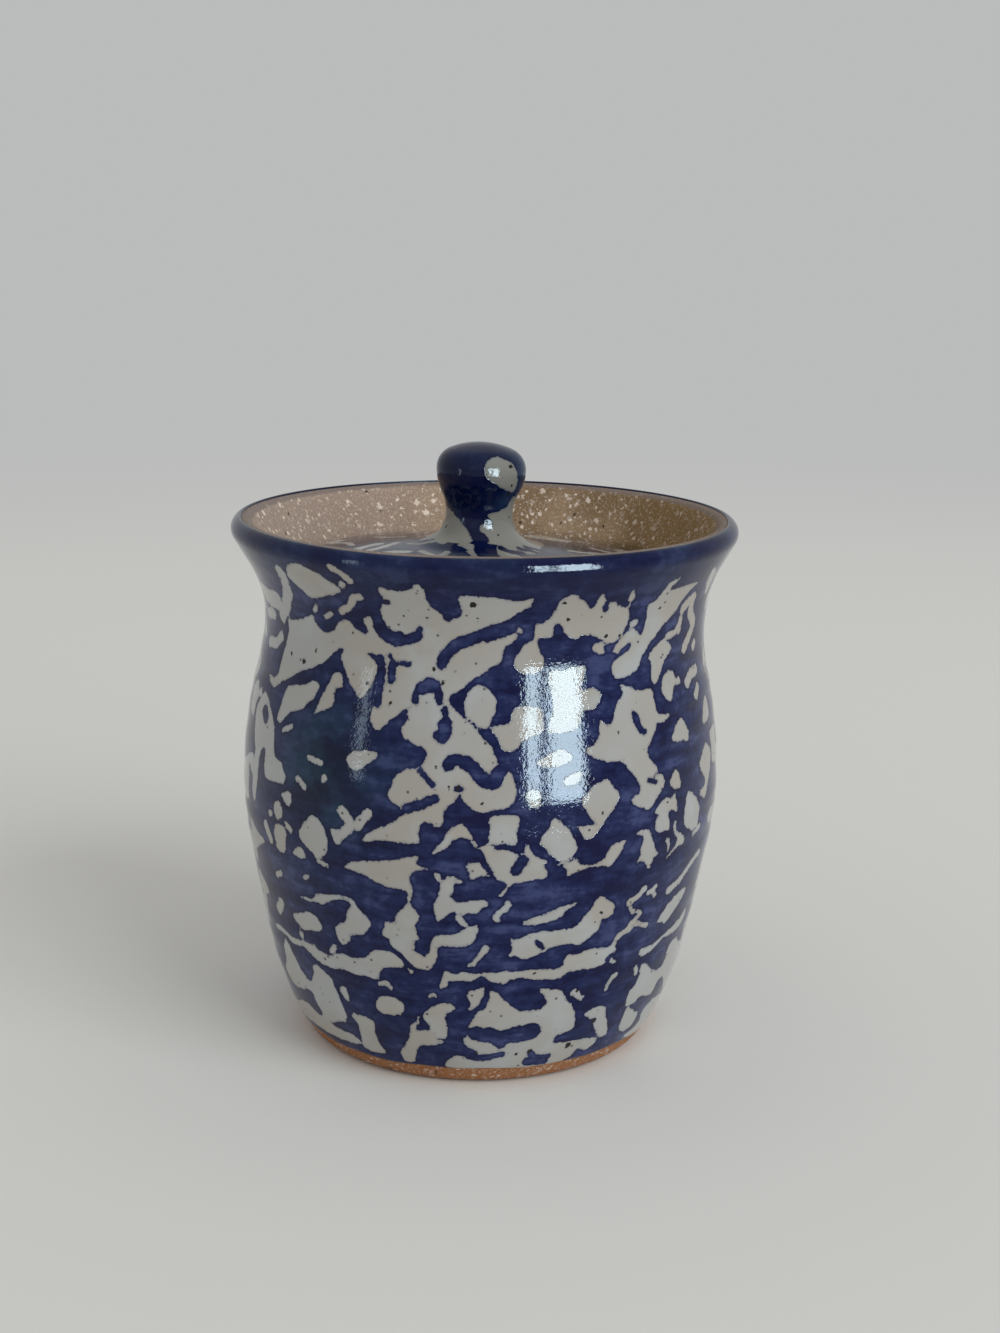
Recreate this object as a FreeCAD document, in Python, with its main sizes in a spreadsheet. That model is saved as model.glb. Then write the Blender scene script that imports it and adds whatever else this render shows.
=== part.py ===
import FreeCAD, Part
import math
import os
import Sketcher

# A wheel-thrown stoneware jar with a flared rim. A flat, slightly domed lid with a ball knob
# drops onto a ledge inside the rim. Millimetres, +Z up, origin at the middle of the foot.

SIZES = [
    ("neck_radius", 48.1, "clay radius at the narrowest part of the neck"),
    ("rim_flare", 6.9, "how far the rim stands out past the neck"),
    ("belly_swell", 4.5, "how far the belly stands out past the neck"),
    ("belly_height", 58.4, "widest part of the belly, above the foot"),
    ("neck_rise", 36.5, "belly up to neck"),
    ("rim_rise", 21.8, "neck up to the top of the rim"),
    ("ledge_rise", 5.1, "neck up to the ledge that the lid sits on"),
    ("lip_round", 2.35, "radius of the rounded lip"),
    ("neck_over_curve", 26.0, "hollow curve of the neck, above its narrowest part"),
    ("neck_under_curve", 44.9, "hollow curve of the neck, below its narrowest part"),
    ("belly_turn", 59.5, "curve just under the belly line"),
    ("belly_turn_drop", 5.4, "height of that curve"),
    ("wall_curve", 166.2, "long curve of the lower wall"),
    ("foot_round", 4.0, "radius where the wall turns under to the foot"),
    ("foot_ring_width", 7.5, "flat ring that the jar stands on"),
    ("foot_recess_depth", 1.2, "dish turned into the underside"),
    ("wall", 4.5, "clay wall"),
    ("floor_thickness", 6.0, "clay floor"),
    ("floor_round", 9.0, "radius inside, where the floor meets the wall"),
    ("seat_wall", 3.2, "clay left round the seat of the lid, at the neck"),
    ("seat_depth", 5.4, "straight wall above the ledge"),
    ("ledge_width", 4.5, "width of the ledge"),
    ("ledge_depth", 3.5, "depth of the ledge at its inner edge"),
    ("glaze", 0.5, "coat of glaze outside and on the lid"),
    ("glaze_line", 4.4, "bare clay below this height"),
    ("liner", 0.4, "coat of glaze inside"),
    ("lid_clearance", 0.6, "gap round the lid in its seat"),
    ("lid_edge", 3.9, "thickness of the lid at its edge"),
    ("lid_edge_round", 0.8, "rounded edge of the lid"),
    ("dome_curve", 186.2, "curve of the lid's domed top"),
    ("knob_neck_radius", 6.9, "narrowest part of the knob"),
    ("knob_neck_rise", 17.5, "its height above the underside of the lid"),
    ("knob_neck_curve", 9.2, "hollow curve from there up towards the head"),
    ("knob_head_radius", 9.3, "widest part of the knob"),
    ("knob_head_rise", 26.9, "its height above the underside of the lid"),
    ("knob_shoulder", 4.3, "radius round the top of the knob"),
    ("knob_top_rise", 32.2, "top of the knob above the underside of the lid"),
]

RECESS = "(Sizes.neck_radius - Sizes.seat_wall)"
NECK_Z = "(Sizes.belly_height + Sizes.neck_rise)"
LEDGE_Z = "(Sizes.belly_height + Sizes.neck_rise + Sizes.ledge_rise)"
RIM_Z = "(Sizes.belly_height + Sizes.neck_rise + Sizes.rim_rise)"
LID_RADIUS = "(Sizes.neck_radius - Sizes.seat_wall - Sizes.lid_clearance)"

START, END, CENTRE = range(1, 4)  # Sketcher's numbers for the points of an edge
LEVEL_AXIS, TURNING_AXIS = range(-1, -3, -1)  # and for the sketch's own two axes

size = {name: value for name, value, note in SIZES}


class Section:
    """Half a section of a turned piece: x is the radius and y the height."""

    def __init__(self, body, name):
        self.body = body
        self.sketch = body.newObject("Sketcher::SketchObject", name)
        planes = {plane.Role: plane for plane in body.Origin.OriginFeatures}
        self.sketch.AttachmentSupport = [(planes["XZ_Plane"], "")]
        self.sketch.MapMode = "FlatFace"

    def line(self, start, end, construction=False):
        edge = Part.LineSegment(FreeCAD.Vector(*start), FreeCAD.Vector(*end))
        return self.sketch.addGeometry(edge, construction)

    def arc(self, centre, radius, first, last, construction=False):
        circle = Part.Circle(FreeCAD.Vector(*centre), FreeCAD.Vector(0, 0, 1), radius)
        return self.sketch.addGeometry(Part.ArcOfCircle(circle, first, last), construction)

    def point(self, edge, end):
        place = self.sketch.getPoint(edge, end)
        return (place.x, place.y)

    def meet(self, edge, end, other, otherEnd):
        self.sketch.addConstraint(Sketcher.Constraint("Coincident", edge, end, other, otherEnd))

    def tangent(self, edge, end, other, otherEnd):
        self.sketch.addConstraint(Sketcher.Constraint("Tangent", edge, end, other, otherEnd))

    def level(self, *ends):
        """Level one straight edge, or two points: edge, end, other edge, other end."""
        self.sketch.addConstraint(Sketcher.Constraint("Horizontal", *ends))

    def upright(self, edge):
        self.sketch.addConstraint(Sketcher.Constraint("Vertical", edge))

    def onAxis(self, edge, end, axis=TURNING_AXIS):
        self.sketch.addConstraint(Sketcher.Constraint("PointOnObject", edge, end, axis))

    def bind(self, kind, expression, edge, end=None):
        """Drive a radius, or a point's x or y, from the sheet."""
        if kind == "Radius":
            constraint = Sketcher.Constraint(kind, edge, self.sketch.Geometry[edge].Radius)
        else:
            x, y = self.point(edge, end)
            constraint = Sketcher.Constraint(kind, edge, end, x if kind == "DistanceX" else y)
        index = self.sketch.addConstraint(constraint)
        self.sketch.setExpression(f"Constraints[{index}]", expression)

    def place(self, edge, end, x, y):
        self.bind("DistanceX", x, edge, end)
        self.bind("DistanceY", y, edge, end)

    def bindLength(self, expression, edge):
        (x, y), (otherX, otherY) = self.point(edge, START), self.point(edge, END)
        length = math.hypot(otherX - x, otherY - y)
        index = self.sketch.addConstraint(Sketcher.Constraint("Distance", edge, length))
        self.sketch.setExpression(f"Constraints[{index}]", expression)

    def turn(self, kind, name):
        """Turn the section once round: a Revolution adds clay and a Groove removes it."""
        feature = self.body.newObject(kind, name)
        feature.Profile = self.sketch
        feature.ReferenceAxis = (self.sketch, ["V_Axis"])
        feature.Angle = 360


def ledgeHeight():
    return size["belly_height"] + size["neck_rise"] + size["ledge_rise"]


def polar(centre, radius, angle):
    return (centre[0] + radius * math.cos(angle), centre[1] + radius * math.sin(angle))


def wallCurve(section, grow, offset):
    """The wall from just above the foot to the neck, moved out by grow.

    Every curve keeps its centre when it moves out: a full curve gains grow and a hollow one
    loses it. offset is grow as an expression. The bottom end is left open.
    """
    bellyRadius = size["neck_radius"] + size["belly_swell"]
    bellyZ = size["belly_height"]
    turnCentre = (bellyRadius - size["belly_turn"], bellyZ)
    dip = -math.asin(size["belly_turn_drop"] / size["belly_turn"])
    wallCentre = polar(turnCentre, size["belly_turn"] - size["wall_curve"], dip)
    lean = 2 * math.atan(size["belly_swell"] / size["neck_rise"])
    upperCurve = size["neck_rise"] / math.sin(lean) - size["neck_under_curve"]
    underCentre = (size["neck_radius"] + size["neck_under_curve"], bellyZ + size["neck_rise"])
    low = -math.asin((wallCentre[1] - size["floor_thickness"]) / (size["wall_curve"] + grow))

    wall = section.arc(wallCentre, size["wall_curve"] + grow, low, dip)
    turn = section.arc(turnCentre, size["belly_turn"] + grow, dip, 0)
    upper = section.arc((bellyRadius - upperCurve, bellyZ), upperCurve + grow, 0, lean)
    under = section.arc(underCentre, size["neck_under_curve"] - grow, math.pi, math.pi + lean)

    section.bind("Radius", f"Sizes.wall_curve + {offset}", wall)
    section.tangent(wall, END, turn, START)
    section.bind("Radius", f"Sizes.belly_turn + {offset}", turn)
    drop = f"Sizes.belly_turn_drop * (Sizes.belly_turn + {offset}) / Sizes.belly_turn"
    section.bind("DistanceY", f"Sizes.belly_height - {drop}", turn, START)
    section.place(turn, END, f"Sizes.neck_radius + Sizes.belly_swell + {offset}", "Sizes.belly_height")
    section.level(turn, CENTRE, turn, END)
    section.meet(upper, START, turn, END)
    section.level(upper, CENTRE, upper, START)
    section.tangent(upper, END, under, END)
    section.bind("Radius", f"Sizes.neck_under_curve - ({offset})", under)
    section.level(under, CENTRE, under, START)
    section.place(under, START, f"Sizes.neck_radius + {offset}", NECK_Z)
    return wall, under


def rimCurve(section, under, grow, offset):
    """The neck's upper curve, the straight flare and the lip, moved out by grow."""
    neckZ = size["belly_height"] + size["neck_rise"]
    overCentre = (size["neck_radius"] + size["neck_over_curve"], neckZ)
    lipCentre = (size["neck_radius"] + size["rim_flare"] - size["lip_round"],
                 neckZ + size["rim_rise"] - size["lip_round"])
    across, up = lipCentre[0] - overCentre[0], lipCentre[1] - overCentre[1]
    reach = size["neck_over_curve"] + size["lip_round"]
    facing = math.atan2(up, across) + math.acos(reach / math.hypot(across, up))
    overRadius = size["neck_over_curve"] - grow
    lipRadius = size["lip_round"] + grow

    over = section.arc(overCentre, overRadius, facing, math.pi)
    flare = section.line(polar(overCentre, overRadius, facing),
                         polar(lipCentre, lipRadius, facing - math.pi))
    lip = section.arc(lipCentre, lipRadius, facing - math.pi, math.pi / 2)

    section.meet(over, END, under, START)
    section.level(over, CENTRE, over, END)
    section.bind("Radius", f"Sizes.neck_over_curve - ({offset})", over)
    section.tangent(over, START, flare, START)
    section.tangent(flare, END, lip, START)
    section.bind("Radius", f"Sizes.lip_round + {offset}", lip)
    section.place(lip, CENTRE, "Sizes.neck_radius + Sizes.rim_flare - Sizes.lip_round",
                  f"{RIM_Z} - Sizes.lip_round")
    return lip


def close(section, edge, end, other, otherEnd):
    """A straight edge between two free ends."""
    gap = section.line(section.point(edge, end), section.point(other, otherEnd))
    section.meet(gap, START, edge, end)
    section.meet(gap, END, other, otherEnd)
    return gap


def chain(section, edge, end, points):
    """Straight edges from a free end through some more points."""
    made = []
    for point in points:
        made.append(section.line(section.point(edge, end), point))
        section.meet(made[-1], START, edge, end)
        edge, end = made[-1], END
    return made


def levelToAxis(section, edge, end):
    """A level edge from a free end in to the middle."""
    x, y = section.point(edge, end)
    across, = chain(section, edge, end, [(0, y)])
    section.level(across)
    section.onAxis(across, END)
    return across


def seatCurve(section, lip):
    """The flare inside the rim, the straight wall of the seat and its ledge."""
    recessRadius = size["neck_radius"] - size["seat_wall"]
    seatTop = (recessRadius, ledgeHeight() + size["seat_depth"])
    inside = section.line(section.point(lip, END), seatTop)
    section.tangent(lip, END, inside, START)
    section.place(inside, END, RECESS, f"{LEDGE_Z} + Sizes.seat_depth")
    recess, = chain(section, inside, END, [(recessRadius, ledgeHeight())])
    section.upright(recess)
    section.bind("DistanceY", LEDGE_Z, recess, END)
    return levelToAxis(section, recess, END)


def footCurve(section, wall):
    """The turn under to the foot, the flat ring and the shallow dish inside it."""
    footRadius = section.point(wall, START)[0] - size["foot_round"]
    recessRadius = footRadius - size["foot_ring_width"]
    foot = section.arc((footRadius, size["foot_round"]), size["foot_round"],
                       -math.pi / 2, -math.pi / 8)
    section.tangent(foot, END, wall, START)
    section.bind("Radius", "Sizes.foot_round", foot)
    ring = section.line((footRadius, 0), (recessRadius, 0))
    section.tangent(ring, START, foot, START)
    section.onAxis(ring, START, LEVEL_AXIS)
    section.onAxis(ring, END, LEVEL_AXIS)
    section.bindLength("Sizes.foot_ring_width", ring)
    depth = size["foot_recess_depth"]
    dishCurve = (recessRadius ** 2 + depth ** 2) / (2 * depth)
    dish = section.arc((0, depth - dishCurve), dishCurve,
                       math.acos(recessRadius / dishCurve), math.pi / 2)
    section.meet(dish, START, ring, END)
    section.onAxis(dish, CENTRE)
    section.onAxis(dish, END)
    section.bind("DistanceY", "Sizes.foot_recess_depth", dish, END)
    return dish


def floorCurve(section, wall, grow, offset):
    """The inside floor and the curve where it meets the wall, moved in by grow."""
    height = size["floor_thickness"] + grow
    cornerRadius = size["floor_round"] - grow
    cornerX = section.point(wall, START)[0] - cornerRadius
    corner = section.arc((cornerX, height + cornerRadius), cornerRadius, -math.pi / 2, -math.pi / 8)
    section.tangent(corner, END, wall, START)
    section.bind("Radius", f"Sizes.floor_round - ({offset})", corner)
    floor = section.line((0, height), (cornerX, height))
    section.tangent(floor, END, corner, START)
    section.onAxis(floor, START)
    section.level(floor)
    section.bind("DistanceY", f"Sizes.floor_thickness + {offset}", floor, START)
    return floor


def buildPotBody(doc):
    """Bare clay: the outside form with the lid's seat in its top, then the hollow."""
    body = doc.addObject("PartDesign::Body", "pot_body")
    form = Section(body, "form_section")
    wall, under = wallCurve(form, 0, "0")
    ledge = seatCurve(form, rimCurve(form, under, 0, "0"))
    dish = footCurve(form, wall)
    close(form, ledge, END, dish, END)
    form.turn("PartDesign::Revolution", "form")
    doc.recompute()

    hollow = Section(body, "hollow_section")
    wall, under = wallCurve(hollow, -size["wall"], "(-Sizes.wall)")
    floor = floorCurve(hollow, wall, 0, "0")
    throatRadius = size["neck_radius"] - size["seat_wall"] - size["ledge_width"]
    throatZ = ledgeHeight() - size["ledge_depth"]
    slope, throat = chain(hollow, under, START,
                          [(throatRadius, throatZ), (throatRadius, ledgeHeight())])
    hollow.place(slope, END, f"{RECESS} - Sizes.ledge_width", f"{LEDGE_Z} - Sizes.ledge_depth")
    hollow.upright(throat)
    hollow.bind("DistanceY", LEDGE_Z, throat, END)
    mouth = levelToAxis(hollow, throat, END)
    close(hollow, mouth, END, floor, START)
    hollow.turn("PartDesign::Groove", "hollow")


def buildPotGlaze(doc):
    """The outside coat, from the bare foot over the rim to the top of the lip."""
    coat = Section(doc.addObject("PartDesign::Body", "pot_glaze"), "coat_section")
    ends = []
    for grow, offset in ((0, "0"), (size["glaze"], "Sizes.glaze")):
        wall, under = wallCurve(coat, grow, offset)
        lip = rimCurve(coat, under, grow, offset)
        coat.bind("DistanceY", "Sizes.glaze_line", wall, START)
        coat.bind("DistanceX", "Sizes.neck_radius + Sizes.rim_flare - Sizes.lip_round", lip, END)
        ends.append((wall, lip))
    (clayWall, clayLip), (coatWall, coatLip) = ends
    close(coat, clayWall, START, coatWall, START)
    close(coat, clayLip, END, coatLip, END)
    coat.turn("PartDesign::Revolution", "coat")


def buildLinerGlaze(doc):
    """The inside coat, over the floor and up the wall to just under the ledge."""
    liner = Section(doc.addObject("PartDesign::Body", "liner_glaze"), "liner_section")
    ends = []
    for grow, offset in ((0, "0"), (size["liner"], "Sizes.liner")):
        wall, under = wallCurve(liner, -size["wall"] - grow, f"(-Sizes.wall - {offset})")
        ends.append((floorCurve(liner, wall, grow, offset), under))
    (clayFloor, clayNeck), (coatFloor, coatNeck) = ends
    close(liner, clayFloor, START, coatFloor, START)
    close(liner, clayNeck, START, coatNeck, START)
    liner.turn("PartDesign::Revolution", "liner")


def domeAndFlare(section, grow, offset, domeIsGuide=False, flareIsGuide=False):
    """The lid's domed top, and the curve that lifts off it to the knob's narrow neck."""
    reach = size["neck_radius"] - size["seat_wall"] - size["lid_clearance"] - size["lid_edge_round"]
    domeRadius = size["dome_curve"] + grow
    centreZ = ledgeHeight() + size["lid_edge"] - math.sqrt(size["dome_curve"] ** 2 - reach ** 2)
    neckX, neckZ = size["knob_neck_radius"] + grow, ledgeHeight() + size["knob_neck_rise"]
    away = neckZ - centreZ
    flareRadius = (neckX ** 2 + away ** 2 - domeRadius ** 2) / (2 * (domeRadius - neckX))
    touch = math.atan2(away, neckX + flareRadius)

    dome = section.arc((0, centreZ), domeRadius, math.acos(reach / domeRadius), touch, domeIsGuide)
    flare = section.arc((neckX + flareRadius, neckZ), flareRadius, math.pi, math.pi + touch,
                        flareIsGuide)
    section.onAxis(dome, CENTRE)
    section.bind("Radius", f"Sizes.dome_curve + {offset}", dome)
    section.bind("DistanceX", f"{LID_RADIUS} - Sizes.lid_edge_round", dome, START)
    section.tangent(dome, END, flare, END)
    section.level(flare, CENTRE, flare, START)
    section.place(flare, START, f"Sizes.knob_neck_radius + {offset}",
                  f"{LEDGE_Z} + Sizes.knob_neck_rise")
    return dome, flare


def knobHead(section, flare, grow, offset):
    """The neck's upper curve, the cheek, the shoulder and the crown of the knob."""
    neckX, neckZ = section.point(flare, START)
    headX, headZ = size["knob_head_radius"] + grow, ledgeHeight() + size["knob_head_rise"]
    topZ = ledgeHeight() + size["knob_top_rise"] + grow
    lean = 2 * math.atan((headX - neckX) / (headZ - neckZ))
    neckCurve = size["knob_neck_curve"] - grow
    cheekCurve = (headZ - neckZ) / math.sin(lean) - neckCurve
    shoulderCurve = size["knob_shoulder"] + grow
    shoulderX, rise = headX - shoulderCurve, topZ - headZ
    crownCurve = (shoulderX ** 2 + rise ** 2 - shoulderCurve ** 2) / (2 * (rise - shoulderCurve))
    turn = math.acos(shoulderX / (crownCurve - shoulderCurve))

    neck = section.arc((neckX + neckCurve, neckZ), neckCurve, math.pi - lean, math.pi)
    cheek = section.arc((headX - cheekCurve, headZ), cheekCurve, -lean, 0)
    shoulder = section.arc((shoulderX, headZ), shoulderCurve, 0, turn)
    crown = section.arc((0, topZ - crownCurve), crownCurve, turn, math.pi / 2)

    section.meet(neck, END, flare, START)
    section.level(neck, CENTRE, neck, END)
    section.bind("Radius", f"Sizes.knob_neck_curve - ({offset})", neck)
    section.tangent(neck, START, cheek, START)
    section.level(cheek, CENTRE, cheek, END)
    section.place(cheek, END, f"Sizes.knob_head_radius + {offset}",
                  f"{LEDGE_Z} + Sizes.knob_head_rise")
    section.meet(shoulder, START, cheek, END)
    section.level(shoulder, CENTRE, shoulder, START)
    section.bind("Radius", f"Sizes.knob_shoulder + {offset}", shoulder)
    section.tangent(shoulder, END, crown, START)
    section.onAxis(crown, CENTRE)
    section.onAxis(crown, END)
    section.bind("DistanceY", f"{LEDGE_Z} + Sizes.knob_top_rise + {offset}", crown, END)
    return crown


def lidEdge(section, dome):
    """The lid's rounded edge and its flat underside."""
    x, y = section.point(dome, START)
    edgeRound = size["lid_edge_round"]
    upper = section.arc((x, y - edgeRound), edgeRound, 0, math.pi / 2)
    lower = section.arc((x, ledgeHeight() + edgeRound), edgeRound, -math.pi / 2, 0)
    side = section.line(section.point(upper, START), section.point(lower, END))
    underside = section.line(section.point(lower, START), (0, ledgeHeight()))
    section.meet(upper, END, dome, START)
    section.bind("DistanceX", f"{LID_RADIUS} - Sizes.lid_edge_round", upper, CENTRE)
    section.bind("Radius", "Sizes.lid_edge_round", upper)
    section.tangent(upper, START, side, START)
    section.upright(side)
    section.tangent(side, END, lower, END)
    section.bind("Radius", "Sizes.lid_edge_round", lower)
    section.tangent(lower, START, underside, START)
    section.level(underside)
    section.onAxis(underside, END)
    section.bind("DistanceY", LEDGE_Z, underside, END)
    return underside


def buildLidDisc(doc):
    """The clay lid: a disc with a domed top, flat in the middle where the knob is set."""
    disc = Section(doc.addObject("PartDesign::Body", "lid_disc"), "disc_section")
    dome, flare = domeAndFlare(disc, 0, "0", flareIsGuide=True)
    disc.bind("DistanceY", f"{LEDGE_Z} + Sizes.lid_edge", dome, START)
    underside = lidEdge(disc, dome)
    land = levelToAxis(disc, dome, END)
    close(disc, land, END, underside, END)
    disc.turn("PartDesign::Revolution", "disc")


def buildLidKnob(doc):
    """The clay knob, luted on, whose foot flares out to run into the dome."""
    knob = Section(doc.addObject("PartDesign::Body", "lid_knob"), "knob_section")
    dome, flare = domeAndFlare(knob, 0, "0", domeIsGuide=True)
    knob.bind("DistanceY", f"{LEDGE_Z} + Sizes.lid_edge", dome, START)
    crown = knobHead(knob, flare, 0, "0")
    foot = levelToAxis(knob, flare, END)
    close(knob, foot, END, crown, END)
    knob.turn("PartDesign::Revolution", "knob")


def buildLidGlaze(doc):
    """One coat over the top of the lid and the knob together."""
    coat = Section(doc.addObject("PartDesign::Body", "lid_glaze"), "lid_coat_section")
    clayDome, clayFlare = domeAndFlare(coat, 0, "0")
    coat.bind("DistanceY", f"{LEDGE_Z} + Sizes.lid_edge", clayDome, START)
    coatDome, coatFlare = domeAndFlare(coat, size["glaze"], "Sizes.glaze")
    coat.level(coatDome, CENTRE, clayDome, CENTRE)
    clayCrown = knobHead(coat, clayFlare, 0, "0")
    coatCrown = knobHead(coat, coatFlare, size["glaze"], "Sizes.glaze")
    close(coat, clayDome, START, coatDome, START)
    close(coat, clayCrown, END, coatCrown, END)
    coat.turn("PartDesign::Revolution", "lid_coat")


def checkAll(doc):
    for thing in doc.Objects:
        if "Invalid" in thing.State or "Error" in thing.State:
            raise RuntimeError(f"{thing.Label} failed: {thing.State}")
        if thing.TypeId == "Sketcher::SketchObject" and thing.solve() != 0:
            raise RuntimeError(f"{thing.Label} does not solve")


def main():
    doc = FreeCAD.newDocument("bean_pot")
    sheet = doc.addObject("Spreadsheet::Sheet", "Sizes")
    for row, (name, value, note) in enumerate(SIZES, start=1):
        sheet.set(f"A{row}", name)
        sheet.set(f"B{row}", str(value))
        sheet.setAlias(f"B{row}", name)
        sheet.set(f"C{row}", note)
    doc.recompute()

    for build in (buildPotBody, buildPotGlaze, buildLinerGlaze,
                  buildLidDisc, buildLidKnob, buildLidGlaze):
        build(doc)
    doc.recompute()
    checkAll(doc)

    os.makedirs("parts", exist_ok=True)
    for body in doc.findObjects("PartDesign::Body"):
        shape = body.Shape
        if shape.isNull() or not shape.isValid() or len(shape.Solids) != 1:
            raise RuntimeError(f"{body.Label} is not one valid solid")
        shape.exportStep(f"parts/{body.Label}.step")
        box = shape.optimalBoundingBox()
        print(f"{body.Label}: {shape.Volume / 1000:.2f} cm3, radius {box.XMax:.2f},"
              f" height {box.ZMin:.2f} to {box.ZMax:.2f}")


main()
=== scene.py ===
import math

import bpy
import numpy as np
from mathutils import Matrix, Vector


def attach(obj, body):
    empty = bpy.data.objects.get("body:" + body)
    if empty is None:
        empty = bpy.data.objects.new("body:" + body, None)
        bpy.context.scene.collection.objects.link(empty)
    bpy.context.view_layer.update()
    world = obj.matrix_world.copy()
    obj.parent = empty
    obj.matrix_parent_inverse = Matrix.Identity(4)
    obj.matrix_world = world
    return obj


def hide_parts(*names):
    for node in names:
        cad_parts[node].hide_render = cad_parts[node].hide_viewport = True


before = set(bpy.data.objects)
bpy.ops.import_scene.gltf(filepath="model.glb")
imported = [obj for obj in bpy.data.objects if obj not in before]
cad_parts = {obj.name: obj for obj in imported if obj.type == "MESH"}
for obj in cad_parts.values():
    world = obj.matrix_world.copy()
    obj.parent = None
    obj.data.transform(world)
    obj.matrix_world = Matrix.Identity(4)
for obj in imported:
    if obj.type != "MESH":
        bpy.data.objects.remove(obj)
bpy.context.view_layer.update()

mm = 0.001
print("bean pot: frame loaded with", ", ".join(sorted(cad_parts)))


# curves and turned surfaces, in millimetres until they go into a mesh

def arc(centre, radius, first, last, step=0.1):
    # part of a circle: centre + radius * (cos t, sin t), with t running from first to last
    count = max(3, int(abs(last - first) * abs(radius) / step) + 2)
    t = np.linspace(first, last, count)
    return np.column_stack([centre[0] + radius * np.cos(t), centre[1] + radius * np.sin(t)])


def line(start, end, step=0.1):
    # a straight run: start + t * (end - start), with t from 0 to 1
    start, end = np.array(start, float), np.array(end, float)
    t = np.linspace(0, 1, max(3, int(np.hypot(*(end - start)) / step) + 2))[:, None]
    return start + t * (end - start)


def polar(centre, radius, angle):
    # the point of a circle at an angle: centre + radius * (cos, sin)
    return centre[0] + radius * math.cos(angle), centre[1] + radius * math.sin(angle)


def runOf(path):
    # distance along a path up to each of its points
    return np.concatenate([[0], np.cumsum(np.hypot(*np.diff(path, axis=0).T))])


def outwardOf(path):
    # the normal on the right of the way along a path: its direction turned back by 90 degrees
    run = runOf(path) + np.arange(len(path)) * 1e-9
    across, up = np.gradient(path[:, 0], run), np.gradient(path[:, 1], run)
    size = np.hypot(across, up)
    return np.column_stack([up / size, -across / size])


def sample(path, distance):
    # radius and height at a distance along a path, straight between its points
    run = runOf(path)
    return np.interp(distance, run, path[:, 0]), np.interp(distance, run, path[:, 1])


def spread(length, count, fineness, samples=4000):
    # count distances from 0 to length, closer together where fineness(distance) is larger
    fine = np.linspace(0, length, samples)
    weight = np.concatenate([[0], np.cumsum((fineness(fine)[1:] + fineness(fine)[:-1]) / 2)])
    return np.interp(np.linspace(0, weight[-1], count), weight, fine)


def stations(path, spacings, samples=6000):
    # distances along a path whose spacing follows a list of (distance along the path, spacing)
    length = runOf(path)[-1]
    places, gaps = np.array(spacings, float).T
    fine = np.linspace(0, length, samples)
    weight = np.concatenate([[0], np.cumsum(np.diff(fine) / np.interp(fine[1:], places, gaps))])
    return np.interp(np.linspace(0, weight[-1], int(weight[-1]) + 2), weight, fine)


def meshFrom(name, points, faces, body, nodes):
    # puts points and faces into a mesh, turns the faces outwards and fits the piece to its body
    faces = np.asarray(faces)
    first, second, third, fourth = (points[faces[:, i]] for i in range(4))
    volume = (np.cross(first, second) * third).sum() + (np.cross(first, third) * fourth).sum()
    if volume < 0:
        faces = faces[:, ::-1]
    mesh = bpy.data.meshes.new(name)
    quads = [tuple(dict.fromkeys(face)) for face in faces.tolist()]
    mesh.from_pydata((points * mm).tolist(), [], quads)
    mesh.shade_smooth()
    piece = bpy.data.objects.new(name, mesh)
    bpy.context.scene.collection.objects.link(piece)
    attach(piece, body)
    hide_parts(*nodes)
    print(f"{name}: {len(points)} points, {len(quads)} faces")
    return piece


def turned(radius, height, angle, shape):
    # a turned surface: the point at an angle, in degrees from the front, is
    # (radius * sin, -radius * cos, height), moved by shape; radius and height may differ by column
    radius, height, turn = np.broadcast_arrays(radius, height, np.radians(angle)[None, :])
    return np.stack(shape(radius * np.sin(turn), -radius * np.cos(turn), height), axis=-1)


def ringFaces(rows, columns, closed):
    # quads between neighbouring rows and columns; the columns always close, the rows if asked
    row = np.arange(rows if closed else rows - 1)[:, None]
    column = np.arange(columns)[None, :]
    nextRow, nextColumn = (row + 1) % rows, (column + 1) % columns
    corners = [row * columns + column, row * columns + nextColumn,
               nextRow * columns + nextColumn, nextRow * columns + column]
    return np.stack(np.broadcast_arrays(*corners), axis=-1).reshape(-1, 4)


def capFaces(pole, start, columns):
    # a fan from the pole to one row
    column = np.arange(columns)
    tip = np.full(columns, pole)
    return np.column_stack([tip, start + column, start + (column + 1) % columns, tip])


def eased(value, low, high):
    # 0 up to low, 1 from high, and t * t * (3 - 2 t) between them
    t = np.clip((value - low) / (high - low), 0, 1)
    return t * t * (3 - 2 * t)


def ripple(turn, waves):
    # the sum of size * sin(count * turn + start) over a list of (size, count, start)
    return sum(size * np.sin(count * turn + start) for size, count, start in waves)


def cleared(path):
    # a path without points that lie on the one before
    return path[np.concatenate([[True], np.hypot(*np.diff(path, axis=0).T) > 1e-6])]


# the pot stands as it left the wheel: it leans a little, it is a trifle oval and full at the foot,
# its neck sits to one side, its rim dips at the back and the potter's fingers left low rings
wheelMarks = {
    "lean": 0.84, "leanHeight": 116.6,
    "foot": (0.62, 14.0, 9.0), "waist": (-0.28, 37.0, 9.0),
    "neck": (0.45, 98.0, 9.0),
    "oval": 0.12, "ovalTurn": 40.0, "fullRadius": 50.0,
    "rings": 0.05, "ringSpacing": 7.3, "ringSwing": 1.6, "ringSwingTurns": 3.7,
    "ringsFrom": 4.0, "ringsFull": 10.0, "ringsFade": 96.0, "ringsEnd": 106.0,
    "rimDip": 0.0057, "rimLift": 0.05, "dipFrom": 84.0, "dipTo": 110.0,
}


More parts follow.
